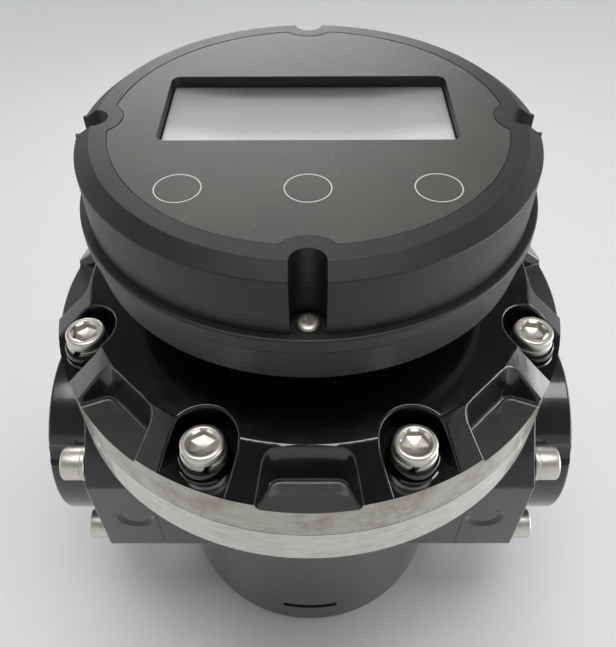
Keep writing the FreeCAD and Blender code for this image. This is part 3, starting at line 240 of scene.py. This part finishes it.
# Turned iron gives a pale silky grey: rings from the tool, 0.35 mm apart to show where
# the real feed is finer, and streaks along them, also drawn coarser than they are. The
# ports show an 11 to the inch pipe thread.
tool_feed, thread_pitch, thread_start = 0.35 * MM, 2.309 * MM, 83.5 * MM
streak_size, blotch_size = 0.5 * MM, 7.0 * MM
feed_turns = add(tree, "ShaderNodeMath", z, math.tau / tool_feed, operation="MULTIPLY")
feed_marks = add(tree, "ShaderNodeMath", feed_turns, operation="SINE")
thread_turn = add(tree, "ShaderNodeMath", over_port, y, operation="ARCTAN2")
thread_run = add(tree, "ShaderNodeMath", x, math.tau / thread_pitch, operation="MULTIPLY")
thread_phase = add(tree, "ShaderNodeMath", thread_run, thread_turn, operation="ADD")
helix = add(tree, "ShaderNodeMath", thread_phase, operation="SINE")
on_thread = add(tree, "ShaderNodeMath", out_along, thread_start, operation="GREATER_THAN")
helix = add(tree, "ShaderNodeMath", helix, on_thread, operation="MULTIPLY")
helix = add(tree, "ShaderNodeMath", helix, in_port, operation="MULTIPLY")
streak_place = add(tree, "ShaderNodeVectorMath", place, (0.12, 0.12, 1.0),
                   operation="MULTIPLY")
streaks = add(tree, "ShaderNodeTexNoise", streak_place, lump / streak_size, 3.0, 0.7)
blotches = add(tree, "ShaderNodeTexNoise", place, lump / blotch_size, 5.0, 0.7)

# The cover's iron is duller than the body's and stained brown, and a dark line of
# dried oil marks where the two castings meet.
on_cover = add(tree, "ShaderNodeMapRange", over_split, -0.3 * MM, 0.3 * MM)
off_split = add(tree, "ShaderNodeMath", over_split, operation="ABSOLUTE")
joint_line = add(tree, "ShaderNodeMapRange", off_split, 0.1 * MM, 0.35 * MM, 0.8, 0.0)
stain = add(tree, "ShaderNodeMath", add(tree, "ShaderNodeMapRange", blotches, 0.42, 0.66),
            add(tree, "ShaderNodeMapRange", on_cover, 0.0, 1.0, 0.16, 0.75),
            operation="MULTIPLY")
iron = add(tree, "ShaderNodeMix", on_cover, linear("#dfded7"), linear("#bdbbb0"),
           data_type="RGBA")
iron = add(tree, "ShaderNodeMix",
           add(tree, "ShaderNodeMapRange", streaks, 0.35, 0.65, 0.0, 0.35),
           iron, linear("#8f8e86"), data_type="RGBA")
iron = add(tree, "ShaderNodeMix", stain, iron, linear("#857a63"), data_type="RGBA")
iron = add(tree, "ShaderNodeMix", joint_line, iron, linear("#3d3a33"), data_type="RGBA")

iron_rough = add(tree, "ShaderNodeMapRange", streaks, 0.3, 0.7, 0.38, 0.52)
gloss = add(tree, "ShaderNodeMapRange", sand, 0.3, 0.7, 0.13, 0.22)
pocket_dull = add(tree, "ShaderNodeMath", in_pocket, 0.35, operation="MULTIPLY")
paint_rough = add(tree, "ShaderNodeMath", pocket_dull, gloss, operation="ADD")
normal = None
for pattern, share, depth_mm in ((peel, painted, 0.03), (sand, painted, 0.12),
                                 (feed_marks, bare_rim, 0.002), (crack, -1.0, 0.4),
                                 (helix, 1.0, 0.6), (streaks, bare, 0.01)):
    normal = add(tree, "ShaderNodeBump", named={
        "Height": add(tree, "ShaderNodeMath", pattern, share, operation="MULTIPLY"),
        "Distance": depth_mm * MM, "Normal": normal})
add(tree, "ShaderNodeOutputMaterial", add(tree, "ShaderNodeBsdfPrincipled", named={
    "Base Color": add(tree, "ShaderNodeMix", bare, colour, iron, data_type="RGBA"),
    "Metallic": add(tree, "ShaderNodeMath", bare, 0.85, operation="MULTIPLY"),
    "Roughness": add(tree, "ShaderNodeMix", bare, paint_rough, iron_rough),
    "IOR": 1.5, "Coat Weight": 0.6, "Coat Roughness": 0.06, "Coat IOR": 1.5,
    "Normal": normal}))


def dress(material, *nodes):
    """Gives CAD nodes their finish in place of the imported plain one."""
    for node in nodes:
        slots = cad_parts[node].data.materials
        slots.clear()
        slots.append(material)


dress(enamel, "meter_body", "meter_cover", "inlet_adapter", "outlet_adapter")

# Oval gears: two aluminium rotors, hobbed round their flanks and faced on the mill. They
# roll on each other in the body's chamber and carry the liquid round behind their lobes.
milled, tree = blank("milled_aluminium")
# Milled aluminium gives a bright grey with curved cutter marks, drawn 0.377 mm apart,
# wider than they are, so that they show. A wave of scale 1 repeats each tau / 20.
cutter_step, wave_step = 0.377 * MM, math.tau / 20
marks = add(tree, "ShaderNodeTexWave", add(tree, "ShaderNodeTexCoord", give="Object"),
            wave_step / cutter_step, 1.5, wave_type="RINGS", give="Fac")
add(tree, "ShaderNodeOutputMaterial", add(tree, "ShaderNodeBsdfPrincipled", named={
    "Base Color": add(tree, "ShaderNodeMix", marks, linear("#b9bbbd"), linear("#cfd0d1"),
                      data_type="RGBA"),
    "Metallic": 1.0,
    "Roughness": add(tree, "ShaderNodeMapRange", marks, 0.0, 1.0, 0.28, 0.4),
    "Normal": add(tree, "ShaderNodeBump", named={"Height": marks,
                                                 "Distance": 0.008 * MM})}))
dress(milled, "rotor_a", "rotor_b")

# Gear shafts: hardened steel pins, ground to size and pressed into the body. The cells'
# contact strips are rolled spring steel with the same look.
ground, tree = blank("ground_steel")
# Grinding gives a near mirror with fine marks, drawn at 0.5 mm so that they show.
mark_size = 0.5 * MM
marks = add(tree, "ShaderNodeTexNoise", add(tree, "ShaderNodeTexCoord", give="Object"),
            lump / mark_size, 4.0)
add(tree, "ShaderNodeOutputMaterial", add(tree, "ShaderNodeBsdfPrincipled", named={
    "Base Color": add(tree, "ShaderNodeMix", marks, linear("#a4a5a6"), linear("#bfc0c1"),
                      data_type="RGBA"),
    "Metallic": 1.0,
    "Roughness": add(tree, "ShaderNodeMapRange", marks, 0.3, 0.7, 0.15, 0.25)}))
dress(ground, "rotor_shaft_a", "rotor_shaft_b", "battery_contacts")

# Gear bushes and magnets: carbon powder pressed with resin and bored to run on the
# shafts, and small magnets set in the same dark resin.
carbon, tree = blank("pressed_carbon")
# Pressed carbon gives a dull graphite grey with specks, drawn at 0.7 mm so that they show.
speck_size = 0.7 * MM
specks = add(tree, "ShaderNodeTexNoise", add(tree, "ShaderNodeTexCoord", give="Object"),
             lump / speck_size, 4.0)
add(tree, "ShaderNodeOutputMaterial", add(tree, "ShaderNodeBsdfPrincipled", named={
    "Base Color": add(tree, "ShaderNodeMix", specks, linear("#26282a"), linear("#3c3e40"),
                      data_type="RGBA"),
    "Roughness": add(tree, "ShaderNodeMapRange", specks, 0.3, 0.7, 0.4, 0.55),
    "IOR": 1.6}))
dress(carbon, "rotor_a_bushes", "rotor_b_bushes", "rotor_a_magnets", "rotor_b_magnets")

# Seals: black nitrile O-rings laid in the grooves of the cover and the ports, and flat
# gaskets cut from sheet under the register's base and its lid.
rubber, tree = blank("nitrile_rubber")
# Moulded rubber gives a matt black with a faint grey bloom.
bloom_size = 0.8 * MM
bloom = add(tree, "ShaderNodeTexNoise", add(tree, "ShaderNodeTexCoord", give="Object"),
            lump / bloom_size, 3.0)
add(tree, "ShaderNodeOutputMaterial", add(tree, "ShaderNodeBsdfPrincipled", named={
    "Base Color": add(tree, "ShaderNodeMix", bloom, linear("#161616"), linear("#232322"),
                      data_type="RGBA"),
    "Roughness": add(tree, "ShaderNodeMapRange", bloom, 0.3, 0.7, 0.55, 0.75),
    "IOR": 1.52,
    "Normal": add(tree, "ShaderNodeBump", named={"Height": bloom,
                                                 "Distance": 0.03 * MM})}))
dress(rubber, "cover_o_ring", "inlet_o_ring", "outlet_o_ring", "base_gasket", "lid_gasket")

# Cover screws: eight stainless cap screws, cold headed and tumbled, so their rims are
# round and bright and the hexagon sockets are duller. Each one pulls a split spring
# washer down on a raised seat that was painted with the cover.
stainless, tree = blank("tumbled_stainless_steel")
# Tumbling gives a warm soft shine, crossed by scratches, drawn coarser than they are.
scratch_size, tarnish_size = 0.5 * MM, 3.5 * MM
place = add(tree, "ShaderNodeTexCoord", give="Object")
scratches = add(tree, "ShaderNodeTexNoise", place, lump / scratch_size, 4.0, 0.7)
tarnish = add(tree, "ShaderNodeTexNoise", place, lump / tarnish_size, 3.0)
add(tree, "ShaderNodeOutputMaterial", add(tree, "ShaderNodeBsdfPrincipled", named={
    "Base Color": add(tree, "ShaderNodeMix", tarnish, linear("#d6d3c8"), linear("#e2dfd4"),
                      data_type="RGBA"),
    "Metallic": 1.0,
    "Roughness": add(tree, "ShaderNodeMapRange", scratches, 0.25, 0.75, 0.36, 0.46),
    "Normal": add(tree, "ShaderNodeBump", named={"Height": scratches,
                                                 "Distance": 0.003 * MM})}))


def spin(bm, rows, spot):
    """Joins rows of points into a closed skin round an axis, and puts it at spot."""
    rings = [[bm.verts.new(spot @ Vector(point)) for point in row] for row in rows]
    for lower, upper in zip(rings, rings[1:]):
        for i in range(len(lower)):
            j = (i + 1) % len(lower)
            bm.faces.new((lower[i], lower[j], upper[j], upper[i]))
    bm.faces.new(rings[0][::-1])
    bm.faces.new(rings[-1])


def round_row(radius, height, around=72):
    """One circle of points, radius and height in mm."""
    return [(radius * MM * math.cos(math.tau * i / around),
             radius * MM * math.sin(math.tau * i / around), height * MM)
            for i in range(around)]


def hex_row(flats, height, turn, around=72):
    """The same number of points on a hexagon, its corners turned in degrees."""
    row = []
    for i in range(around):
        angle = math.tau * i / around
        off_middle = (angle - math.radians(turn)) % (math.pi / 3) - math.pi / 6
        reach = flats / 2 / math.cos(off_middle) * MM
        row.append((reach * math.cos(angle), reach * math.sin(angle), height * MM))
    return row


def cap_screw(bm, spot, head, shank, turn):
    """A socket cap screw: the top of its head at spot, pointing along +Z. Its outside is
    given as radius and height in mm, from the shank's tip to the socket's rim."""
    shank_radius, head_radius, flats, socket = 4.0, 6.65, 7.5, 2.8
    outside = ((shank_radius - 0.8, -head - shank), (shank_radius, 0.8 - head - shank),
               (shank_radius, -head), (6.35, -head), (6.6, 0.25 - head),
               (head_radius, 0.6 - head), (head_radius, -1.1), (6.56, -0.68),
               (6.32, -0.32), (5.98, -0.08), (5.6, 0.0), (5.0, 0.0), (4.8, -0.08),
               (4.68, -0.3))
    rows = [round_row(radius, height) for radius, height in outside]
    rows += [hex_row(flats + 0.25, -0.6, turn), hex_row(flats, -0.8, turn),
             hex_row(flats, -socket, turn), hex_row(6.2, -socket - 0.25, turn),
             round_row(1.2, -socket - 0.7)]
    spin(bm, rows, spot)


def split_washer(bm, spot, turn, thick):
    """A spring washer with a slanted slit, sprung open, lying on spot. The section is
    squeezed a little, and its two ends gape, so that the coil keeps within thick."""
    inner, outer, edge, steps, slit = 4.15, 6.9, 0.3, 64, math.radians(19)
    slant, squeeze, gape, lift = 0.09, 0.955, 0.18, 0.1
    section = [(inner + edge, 0), (outer - edge, 0), (outer, edge), (outer, thick - edge),
               (outer - edge, thick), (inner + edge, thick), (inner, thick - edge),
               (inner, edge)]
    loops = []
    for i in range(steps + 1):
        share = i / steps
        angle = math.radians(turn) + slit / 2 + (math.tau - slit) * share
        loop = []
        for r, z in section:
            leaned = angle + slant * (z - thick / 2)
            point = Vector((r * math.cos(leaned), r * math.sin(leaned),
                            z * squeeze + gape * (share - 0.5) + lift)) * MM
            loop.append(bm.verts.new(spot @ point))
        loops.append(loop)
    for near, far in zip(loops, loops[1:]):
        for i in range(len(section)):
            j = (i + 1) % len(section)
            bm.faces.new((near[i], near[j], far[j], far[i]))
    bm.faces.new(loops[0][::-1])
    bm.faces.new(loops[-1])


def mount(name, mesh, slot, *nodes):
    """Puts a mesh on the meter as a piece that stands for CAD nodes."""
    thing = bpy.data.objects.new(name, mesh)
    scene.collection.objects.link(thing)
    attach(thing, "meter")
    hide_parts(*nodes)


def piece(name, bm, material, slot, *nodes):
    """Turns a finished bmesh into a smooth mesh with crisp edges and mounts it."""
    bmesh.ops.recalc_face_normals(bm, faces=bm.faces)
    mesh = bpy.data.meshes.new(name)
    bm.to_mesh(mesh)
    bm.free()
    mesh.shade_smooth()
    mesh.set_sharp_from_angle(angle=math.radians(32))
    mesh.materials.append(material)
    mount(name, mesh, slot, *nodes)


bolt_circle, seat_base, seat_high, washer_thick, head_high = 81.4, 165.8, 4.2, 2.0, 3.8
seat_profile = ((5.0, 0.0), (8.5, 0.0), (8.1, 0.5), (8.0, 3.7), (7.8, 4.0),
                (7.5, seat_high), (5.0, seat_high))
screw_turns = (10, 47, 24, 5, 38, 30, 0, 52)
slit_turns = (35, 150, 75, 310, 250, 284, 262, 200)
screws, washers, seats = bmesh.new(), bmesh.new(), bmesh.new()
for k, (screw_turn, slit_turn) in enumerate(zip(screw_turns, slit_turns)):
    way = math.radians(22.5 + 45 * k)
    across, along = bolt_circle * math.cos(way), bolt_circle * math.sin(way)
    base, washer_foot, head_top = (
        Matrix.Translation(Vector((across, along, seat_base + height)) * MM)
        for height in (0.0, seat_high, seat_high + washer_thick + head_high))
    spin(seats, [round_row(radius, height) for radius, height in seat_profile], base)
    split_washer(washers, washer_foot, slit_turn, washer_thick)
    cap_screw(screws, head_top, head_high, shank=25.0, turn=screw_turn)
piece("cover_cap_screws", screws, stainless, "bright_screws", "cover_screws")
piece("cover_spring_washers", washers, stainless, "spring_washers", "cover_lock_washers")
piece("cover_screw_seats", seats, enamel, "painted_casting", "cover_lock_washers")

# Adapter screws: four more of the stainless cap screws through each adapter into the
# body, their full heads standing out at the sides on split washers.
side_y, side_z, washer_face, side_head = 39.5, 25.0, 88.0, 8.0
for name, side in (("inlet", 1), ("outlet", -1)):
    screws, washers = bmesh.new(), bmesh.new()
    outward = Matrix.Rotation(math.radians(90 * side), 4, "Y")
    for k, (y, z) in enumerate(((-1, 1), (1, 1), (-1, -1), (1, -1))):
        foot = Vector((side * washer_face, y * side_y, port_height + z * side_z)) * MM
        tip = foot + Vector((side * (washer_thick + side_head) * MM, 0, 0))
        split_washer(washers, Matrix.Translation(foot) @ outward, turn=40 + 73 * k,
                     thick=washer_thick)
        cap_screw(screws, Matrix.Translation(tip) @ outward, side_head, shank=32.0,
                  turn=17 * k)
    piece(name + "_cap_screws", screws, stainless, "bright_screws", name + "_screws")
    piece(name + "_spring_washers", washers, stainless, "spring_washers",
          name + "_lock_washers")

# Register base: a round bowl with a ledge, moulded in black ABS and screwed down on the
# cover's neck. The display's holder, the battery tray and the key switches inside it are
# moulded in the same plastic.
abs_black, tree = blank("moulded_black_abs")
# The spark-eroded mould gives the ABS a fine grain that spreads the light and turns the
# black grey where it faces the wall. The grain is drawn coarser than it is.
erosion_size, flow_size = 0.5 * MM, 20.0 * MM
place = add(tree, "ShaderNodeTexCoord", give="Object")
erosion = add(tree, "ShaderNodeTexNoise", place, lump / erosion_size, 3.0, 0.6)
flow = add(tree, "ShaderNodeTexNoise", place, lump / flow_size, 5.0, 0.6)
grain = add(tree, "ShaderNodeBump", named={"Height": erosion, "Distance": 0.025 * MM})
add(tree, "ShaderNodeOutputMaterial", add(tree, "ShaderNodeBsdfPrincipled", named={
    "Base Color": add(tree, "ShaderNodeMix",
                      add(tree, "ShaderNodeMapRange", flow, 0.3, 0.7),
                      linear("#161617"), linear("#1d1d1e"), data_type="RGBA"),
    "Roughness": add(tree, "ShaderNodeMapRange", erosion, 0.25, 0.75, 0.4, 0.52),
    "IOR": 1.54,
    "Normal": add(tree, "ShaderNodeBump", named={"Height": flow, "Distance": 0.2 * MM,
                                                 "Normal": grain})}))
dress(abs_black, "register_base", "lcd_holder", "battery_tray", "key_switches")
dress(stainless, "base_screws", "board_screws")

# Boards: glass cloth pressed with resin and coated with green solder mask. The display's
# board hangs from posts in the lid on four small screws, and the sensor's lies low in the
# register, over the gears.
laminate, tree = blank("green_solder_mask")
# Solder mask gives a glossy green over the cloth's weave, which is drawn in 3 mm bricks,
# coarser than the real cloth, so that it shows. A brick of scale 1 is 0.5 wide.
weave_size, brick_wide = 3.0 * MM, 0.5
weave, seams = add(tree, "ShaderNodeTexBrick", named={
    "Vector": add(tree, "ShaderNodeTexCoord", give="Object"),
    "Scale": brick_wide / weave_size,
    "Color1": linear("#14502f"), "Color2": linear("#17583a"), "Mortar": linear("#1d6a45"),
    "Mortar Size": 0.03}, give="all")
add(tree, "ShaderNodeOutputMaterial", add(tree, "ShaderNodeBsdfPrincipled", named={
    "Base Color": weave,
    "Roughness": add(tree, "ShaderNodeMapRange", seams, 0.0, 1.0, 0.35, 0.45),
    "IOR": 1.5, "Coat Weight": 0.4, "Coat Roughness": 0.15}))
dress(laminate, "display_board", "sensor_board")

# Cells: two lithium cells in plain blue shrink wrap, pushed into the tray between their
# contact strips.
wrap, tree = blank("cell_shrink_wrap")
# Shrunk film gives a plastic shine that ripples over its fine crinkles.
crinkle_size = 3.0 * MM
crinkle = add(tree, "ShaderNodeTexNoise", add(tree, "ShaderNodeTexCoord", give="Object"),
              lump / crinkle_size, 4.0)
add(tree, "ShaderNodeOutputMaterial", add(tree, "ShaderNodeBsdfPrincipled", named={
    "Base Color": add(tree, "ShaderNodeMix", crinkle, linear("#2f4f7d"), linear("#3a5f92"),
                      data_type="RGBA"),
    "Roughness": add(tree, "ShaderNodeMapRange", crinkle, 0.3, 0.7, 0.25, 0.4),
    "IOR": 1.5,
    "Normal": add(tree, "ShaderNodeBump", named={"Height": crinkle,
                                                 "Distance": 0.05 * MM})}))
dress(wrap, "battery_cells")

# Reed switches: two contacts sealed in drawn glass tubes, soldered to the sensor board
# above the gears' magnets.
tube_glass, tree = blank("reed_tube_glass")
# Drawn glass gives a clear shine with an uneven green tint.
tint_size = 2.0 * MM
tint = add(tree, "ShaderNodeTexNoise", add(tree, "ShaderNodeTexCoord", give="Object"),
           lump / tint_size, 2.0)
add(tree, "ShaderNodeOutputMaterial", add(tree, "ShaderNodeBsdfPrincipled", named={
    "Base Color": add(tree, "ShaderNodeMix", tint, linear("#5f8f74"), linear("#86b39a"),
                      data_type="RGBA"),
    "Roughness": add(tree, "ShaderNodeMapRange", tint, 0.3, 0.7, 0.03, 0.1),
    "IOR": 1.5, "Transmission Weight": 0.7}))
dress(tube_glass, "reed_switches")

# Display: a reflective liquid crystal glass, wide above and narrower where the holder
# grips it, close under a pane cut from clear acrylic sheet and bonded below the lid.
display, tree = blank("reflective_lcd_glass")
# With nothing to show, the glass gives a plain silver grey. Painted over it is the
# housing's shade, darker towards its far edge, and a painted sheen that turns it near white
# towards its near edge and out at its sides. Its cells are drawn coarser than they are.
cell_size, cloud_size, far_edge, near_edge = 0.5 * MM, 30.0 * MM, 27.0 * MM, -6.0 * MM
bow_start, bow_end, bow_depth, drift = 20.0 * MM, 44.0 * MM, 5.0 * MM, 3.0 * MM
place = add(tree, "ShaderNodeTexCoord", give="Object")
x, y, _ = add(tree, "ShaderNodeSeparateXYZ", place, give="all")
cells = add(tree, "ShaderNodeTexNoise", place, lump / cell_size, 2.0)
clouds = add(tree, "ShaderNodeTexNoise", place, lump / cloud_size, 2.0)
out_along = add(tree, "ShaderNodeMath", x, operation="ABSOLUTE")
aside = add(tree, "ShaderNodeMapRange", out_along, bow_start, bow_end, 0.0, bow_depth)
uneven = add(tree, "ShaderNodeMath", clouds, drift, operation="MULTIPLY")
bowed = add(tree, "ShaderNodeMath", y, aside, operation="SUBTRACT")
painted_light_way = add(tree, "ShaderNodeMath", bowed, uneven, operation="ADD")
# Painted shade and painted sheen: dark grey at the far edge, near white at the near edge
# and sides.
painted_shade_and_sheen = add(tree, "ShaderNodeValToRGB",
             add(tree, "ShaderNodeMapRange", painted_light_way, far_edge, near_edge))
painted_light_bands = painted_shade_and_sheen.node.color_ramp.elements
painted_light_bands[0].position, painted_light_bands[0].color = 0.0, linear("#565854")
painted_light_bands[1].position, painted_light_bands[1].color = 1.0, linear("#ffffff")
for share, code in ((0.14, "#7d7f7b"), (0.26, "#b6b8b5"), (0.55, "#c4c6c3"),
                    (0.8, "#d2d4d1")):
    painted_light_bands.new(share).color = linear(code)
speckle = add(tree, "ShaderNodeMath", cells, 0.1, operation="MULTIPLY")
add(tree, "ShaderNodeOutputMaterial", add(tree, "ShaderNodeBsdfPrincipled", named={
    "Base Color": add(tree, "ShaderNodeMix", speckle, painted_shade_and_sheen, linear("#a8aaa6"),
                      data_type="RGBA"),
    "Roughness": add(tree, "ShaderNodeMapRange", cells, 0.3, 0.7, 0.3, 0.4),
    "IOR": 1.52}))


def slab(bm, low, high, edge=0.25):
    """A plate between two corners in mm, its top and bottom edges broken."""
    def row(inset, height):
        return [(x * MM, y * MM, height * MM) for x, y in (
            (low[0] + inset, low[1] + inset), (high[0] - inset, low[1] + inset),
            (high[0] - inset, high[1] - inset), (low[0] + inset, high[1] - inset))]
    spin(bm, [row(edge, low[2]), row(0, low[2] + edge), row(0, high[2] - edge),
              row(edge, high[2])], Matrix())


glass = bmesh.new()
slab(glass, (-42.5, -13.0, 227.4), (42.5, 24.5, 231.0))
slab(glass, (-44.2, -14.5, 231.0), (44.2, 26.2, 232.6))
piece("lcd_panel", glass, display, "lcd", "lcd_glass")

# Cast acrylic gives a clear, faintly smeared sheet that mirrors the room only a little.
acrylic, tree = blank("clear_acrylic")
smear_size = 12.0 * MM
smear = add(tree, "ShaderNodeTexNoise", add(tree, "ShaderNodeTexCoord", give="Object"),
            lump / smear_size, 4.0)
add(tree, "ShaderNodeOutputMaterial", add(tree, "ShaderNodeBsdfPrincipled", named={
    "Base Color": add(tree, "ShaderNodeMix", smear, linear("#f4f6f5"), linear("#ffffff"),
                      data_type="RGBA"),
    "Roughness": 0.0, "IOR": 1.49, "Transmission Weight": 1.0, "Alpha": 0.35}))
pane = bmesh.new()
slab(pane, (-47.5, -15.0, 232.65), (47.5, 29.0, 233.15), 0.05)
piece("display_pane", pane, acrylic, "clear_pane", "display_window")


# Register lid: moulded in the same black ABS as the base, with a crisp bevel and four
# notches for its screws. It closes the bowl and frames the display.
def reopened(name, node, material, slot):
    """A CAD node's own shape with the near edge of its display opening 3 mm nearer."""
    half_width, edge_low, edge_high = 44.6 * MM, -9.7 * MM, -6.5 * MM
    underside, nearer = 233.1 * MM, 3.0 * MM
    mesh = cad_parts[node].data.copy()
    mesh.name = name
    for vertex in mesh.vertices:
        x, y, z = vertex.co
        if abs(x) < half_width and edge_low < y < edge_high and z > underside:
            vertex.co.y -= nearer
    mesh.materials.clear()
    mesh.materials.append(material)
    mount(name, mesh, slot, node)


reopened("housing_lid", "register_lid", abs_black, "black_abs")


# Lid screws: four small stainless pan heads with a cross recess pressed in, driven into
# the base at the foot of the lid's notches.
def pan_head(bm, spot, turn, around=96):
    """A domed head over its shank, the cross pressed into it; sizes in mm."""
    shank_radius, shank_long, wide, tall = 1.5, 9.0, 3.3, 1.7
    arm, reach, deep = 0.42, 1.75, 0.9
    rows = [round_row(radius, height, around) for radius, height in (
        (shank_radius, -shank_long), (shank_radius, 0.0), (wide, 0.0))]
    dome = ((wide, 0.8), (3.15, 1.15), (2.85, 1.4), (2.45, 1.56), (2.1, 1.63), (1.9, 1.66),
            (1.8, 1.67), (1.7, 1.68))
    crown = [(radius, tall) for radius in (1.5, 1.25, 1.0, 0.8, 0.65, 0.55, 0.45, 0.3, 0.1)]
    for radius, rise in (*dome, *crown):
        row = []
        for x, y, height in round_row(radius, rise, around):
            across, along = sorted((abs(x), abs(y)))
            if across < arm * MM and along < reach * MM:
                height -= deep * MM
            row.append((x, y, height))
        rows.append(row)
    spin(bm, rows, spot @ Matrix.Rotation(math.radians(turn), 4, "Z"))


notch_circle, notch_floor = 65.35, 214.6
pans = bmesh.new()
for k, turn in enumerate((12, 75, 40, 20)):
    way = math.radians(90 * k)
    spot = Vector((notch_circle * math.cos(way), notch_circle * math.sin(way), notch_floor))
    pan_head(pans, Matrix.Translation(spot * MM), turn)
piece("lid_pan_screws", pans, stainless, "bright_screws", "lid_screws")

# Face film: polyester printed dark grey from behind, cut to the lid and stuck down on it.
# The three keys are domes pressed up in it, each inside a thin white printed ring.
film, tree = blank("velvet_polyester_film")
# The velvet front gives a broad pale shine, with a few specks of dust. Its grain is drawn
# coarser than it is.
velvet_size, shade_size, speck_size = 0.5 * MM, 14.0 * MM, 0.9 * MM
place = add(tree, "ShaderNodeTexCoord", give="Object")
velvet = add(tree, "ShaderNodeTexNoise", place, lump / velvet_size, 3.0, 0.7)
shade = add(tree, "ShaderNodeTexNoise", place, lump / shade_size, 5.0, 0.7)
specks = add(tree, "ShaderNodeTexNoise", place, lump / speck_size, 2.0, 0.8)
grey = add(tree, "ShaderNodeMix", add(tree, "ShaderNodeMapRange", shade, 0.3, 0.7),
           linear("#3f3e3a"), linear("#4a4944"), data_type="RGBA")
grey = add(tree, "ShaderNodeMix",
           add(tree, "ShaderNodeMapRange", specks, 0.7, 0.76, 0.0, 0.35),
           grey, linear("#a5a49e"), data_type="RGBA")
key_row, key_spacing = -36.0 * MM, 34.8 * MM
ring_radius, ring_half, ink_edge = 6.29 * MM, 0.2 * MM, 0.04 * MM
flat = add(tree, "ShaderNodeVectorMath", place, (1, 1, 0), operation="MULTIPLY")
ink = 0.0
for step in (-1, 0, 1):
    away = add(tree, "ShaderNodeVectorMath", flat, (step * key_spacing, key_row, 0.0),
               operation="DISTANCE", give="Value")
    past_ring = add(tree, "ShaderNodeMath", away, ring_radius, operation="SUBTRACT")
    off_ring = add(tree, "ShaderNodeMath", past_ring, operation="ABSOLUTE")
    ring = add(tree, "ShaderNodeMapRange", off_ring, ring_half - ink_edge,
               ring_half + ink_edge, 1.0, 0.0)
    ink = add(tree, "ShaderNodeMath", ink, ring, operation="MAXIMUM")
add(tree, "ShaderNodeOutputMaterial", add(tree, "ShaderNodeBsdfPrincipled", named={
    "Base Color": add(tree, "ShaderNodeMix", ink, grey, linear("#dcdcd8"),
                      data_type="RGBA"),
    "Roughness": add(tree, "ShaderNodeMapRange", velvet, 0.25, 0.75, 0.42, 0.52),
    "IOR": 1.57,
    "Normal": add(tree, "ShaderNodeBump", named={"Height": velvet,
                                                 "Distance": 0.015 * MM})}))
reopened("face_film", "face_overlay", film, "face_film")
dress(film, "key_left", "key_centre", "key_right")
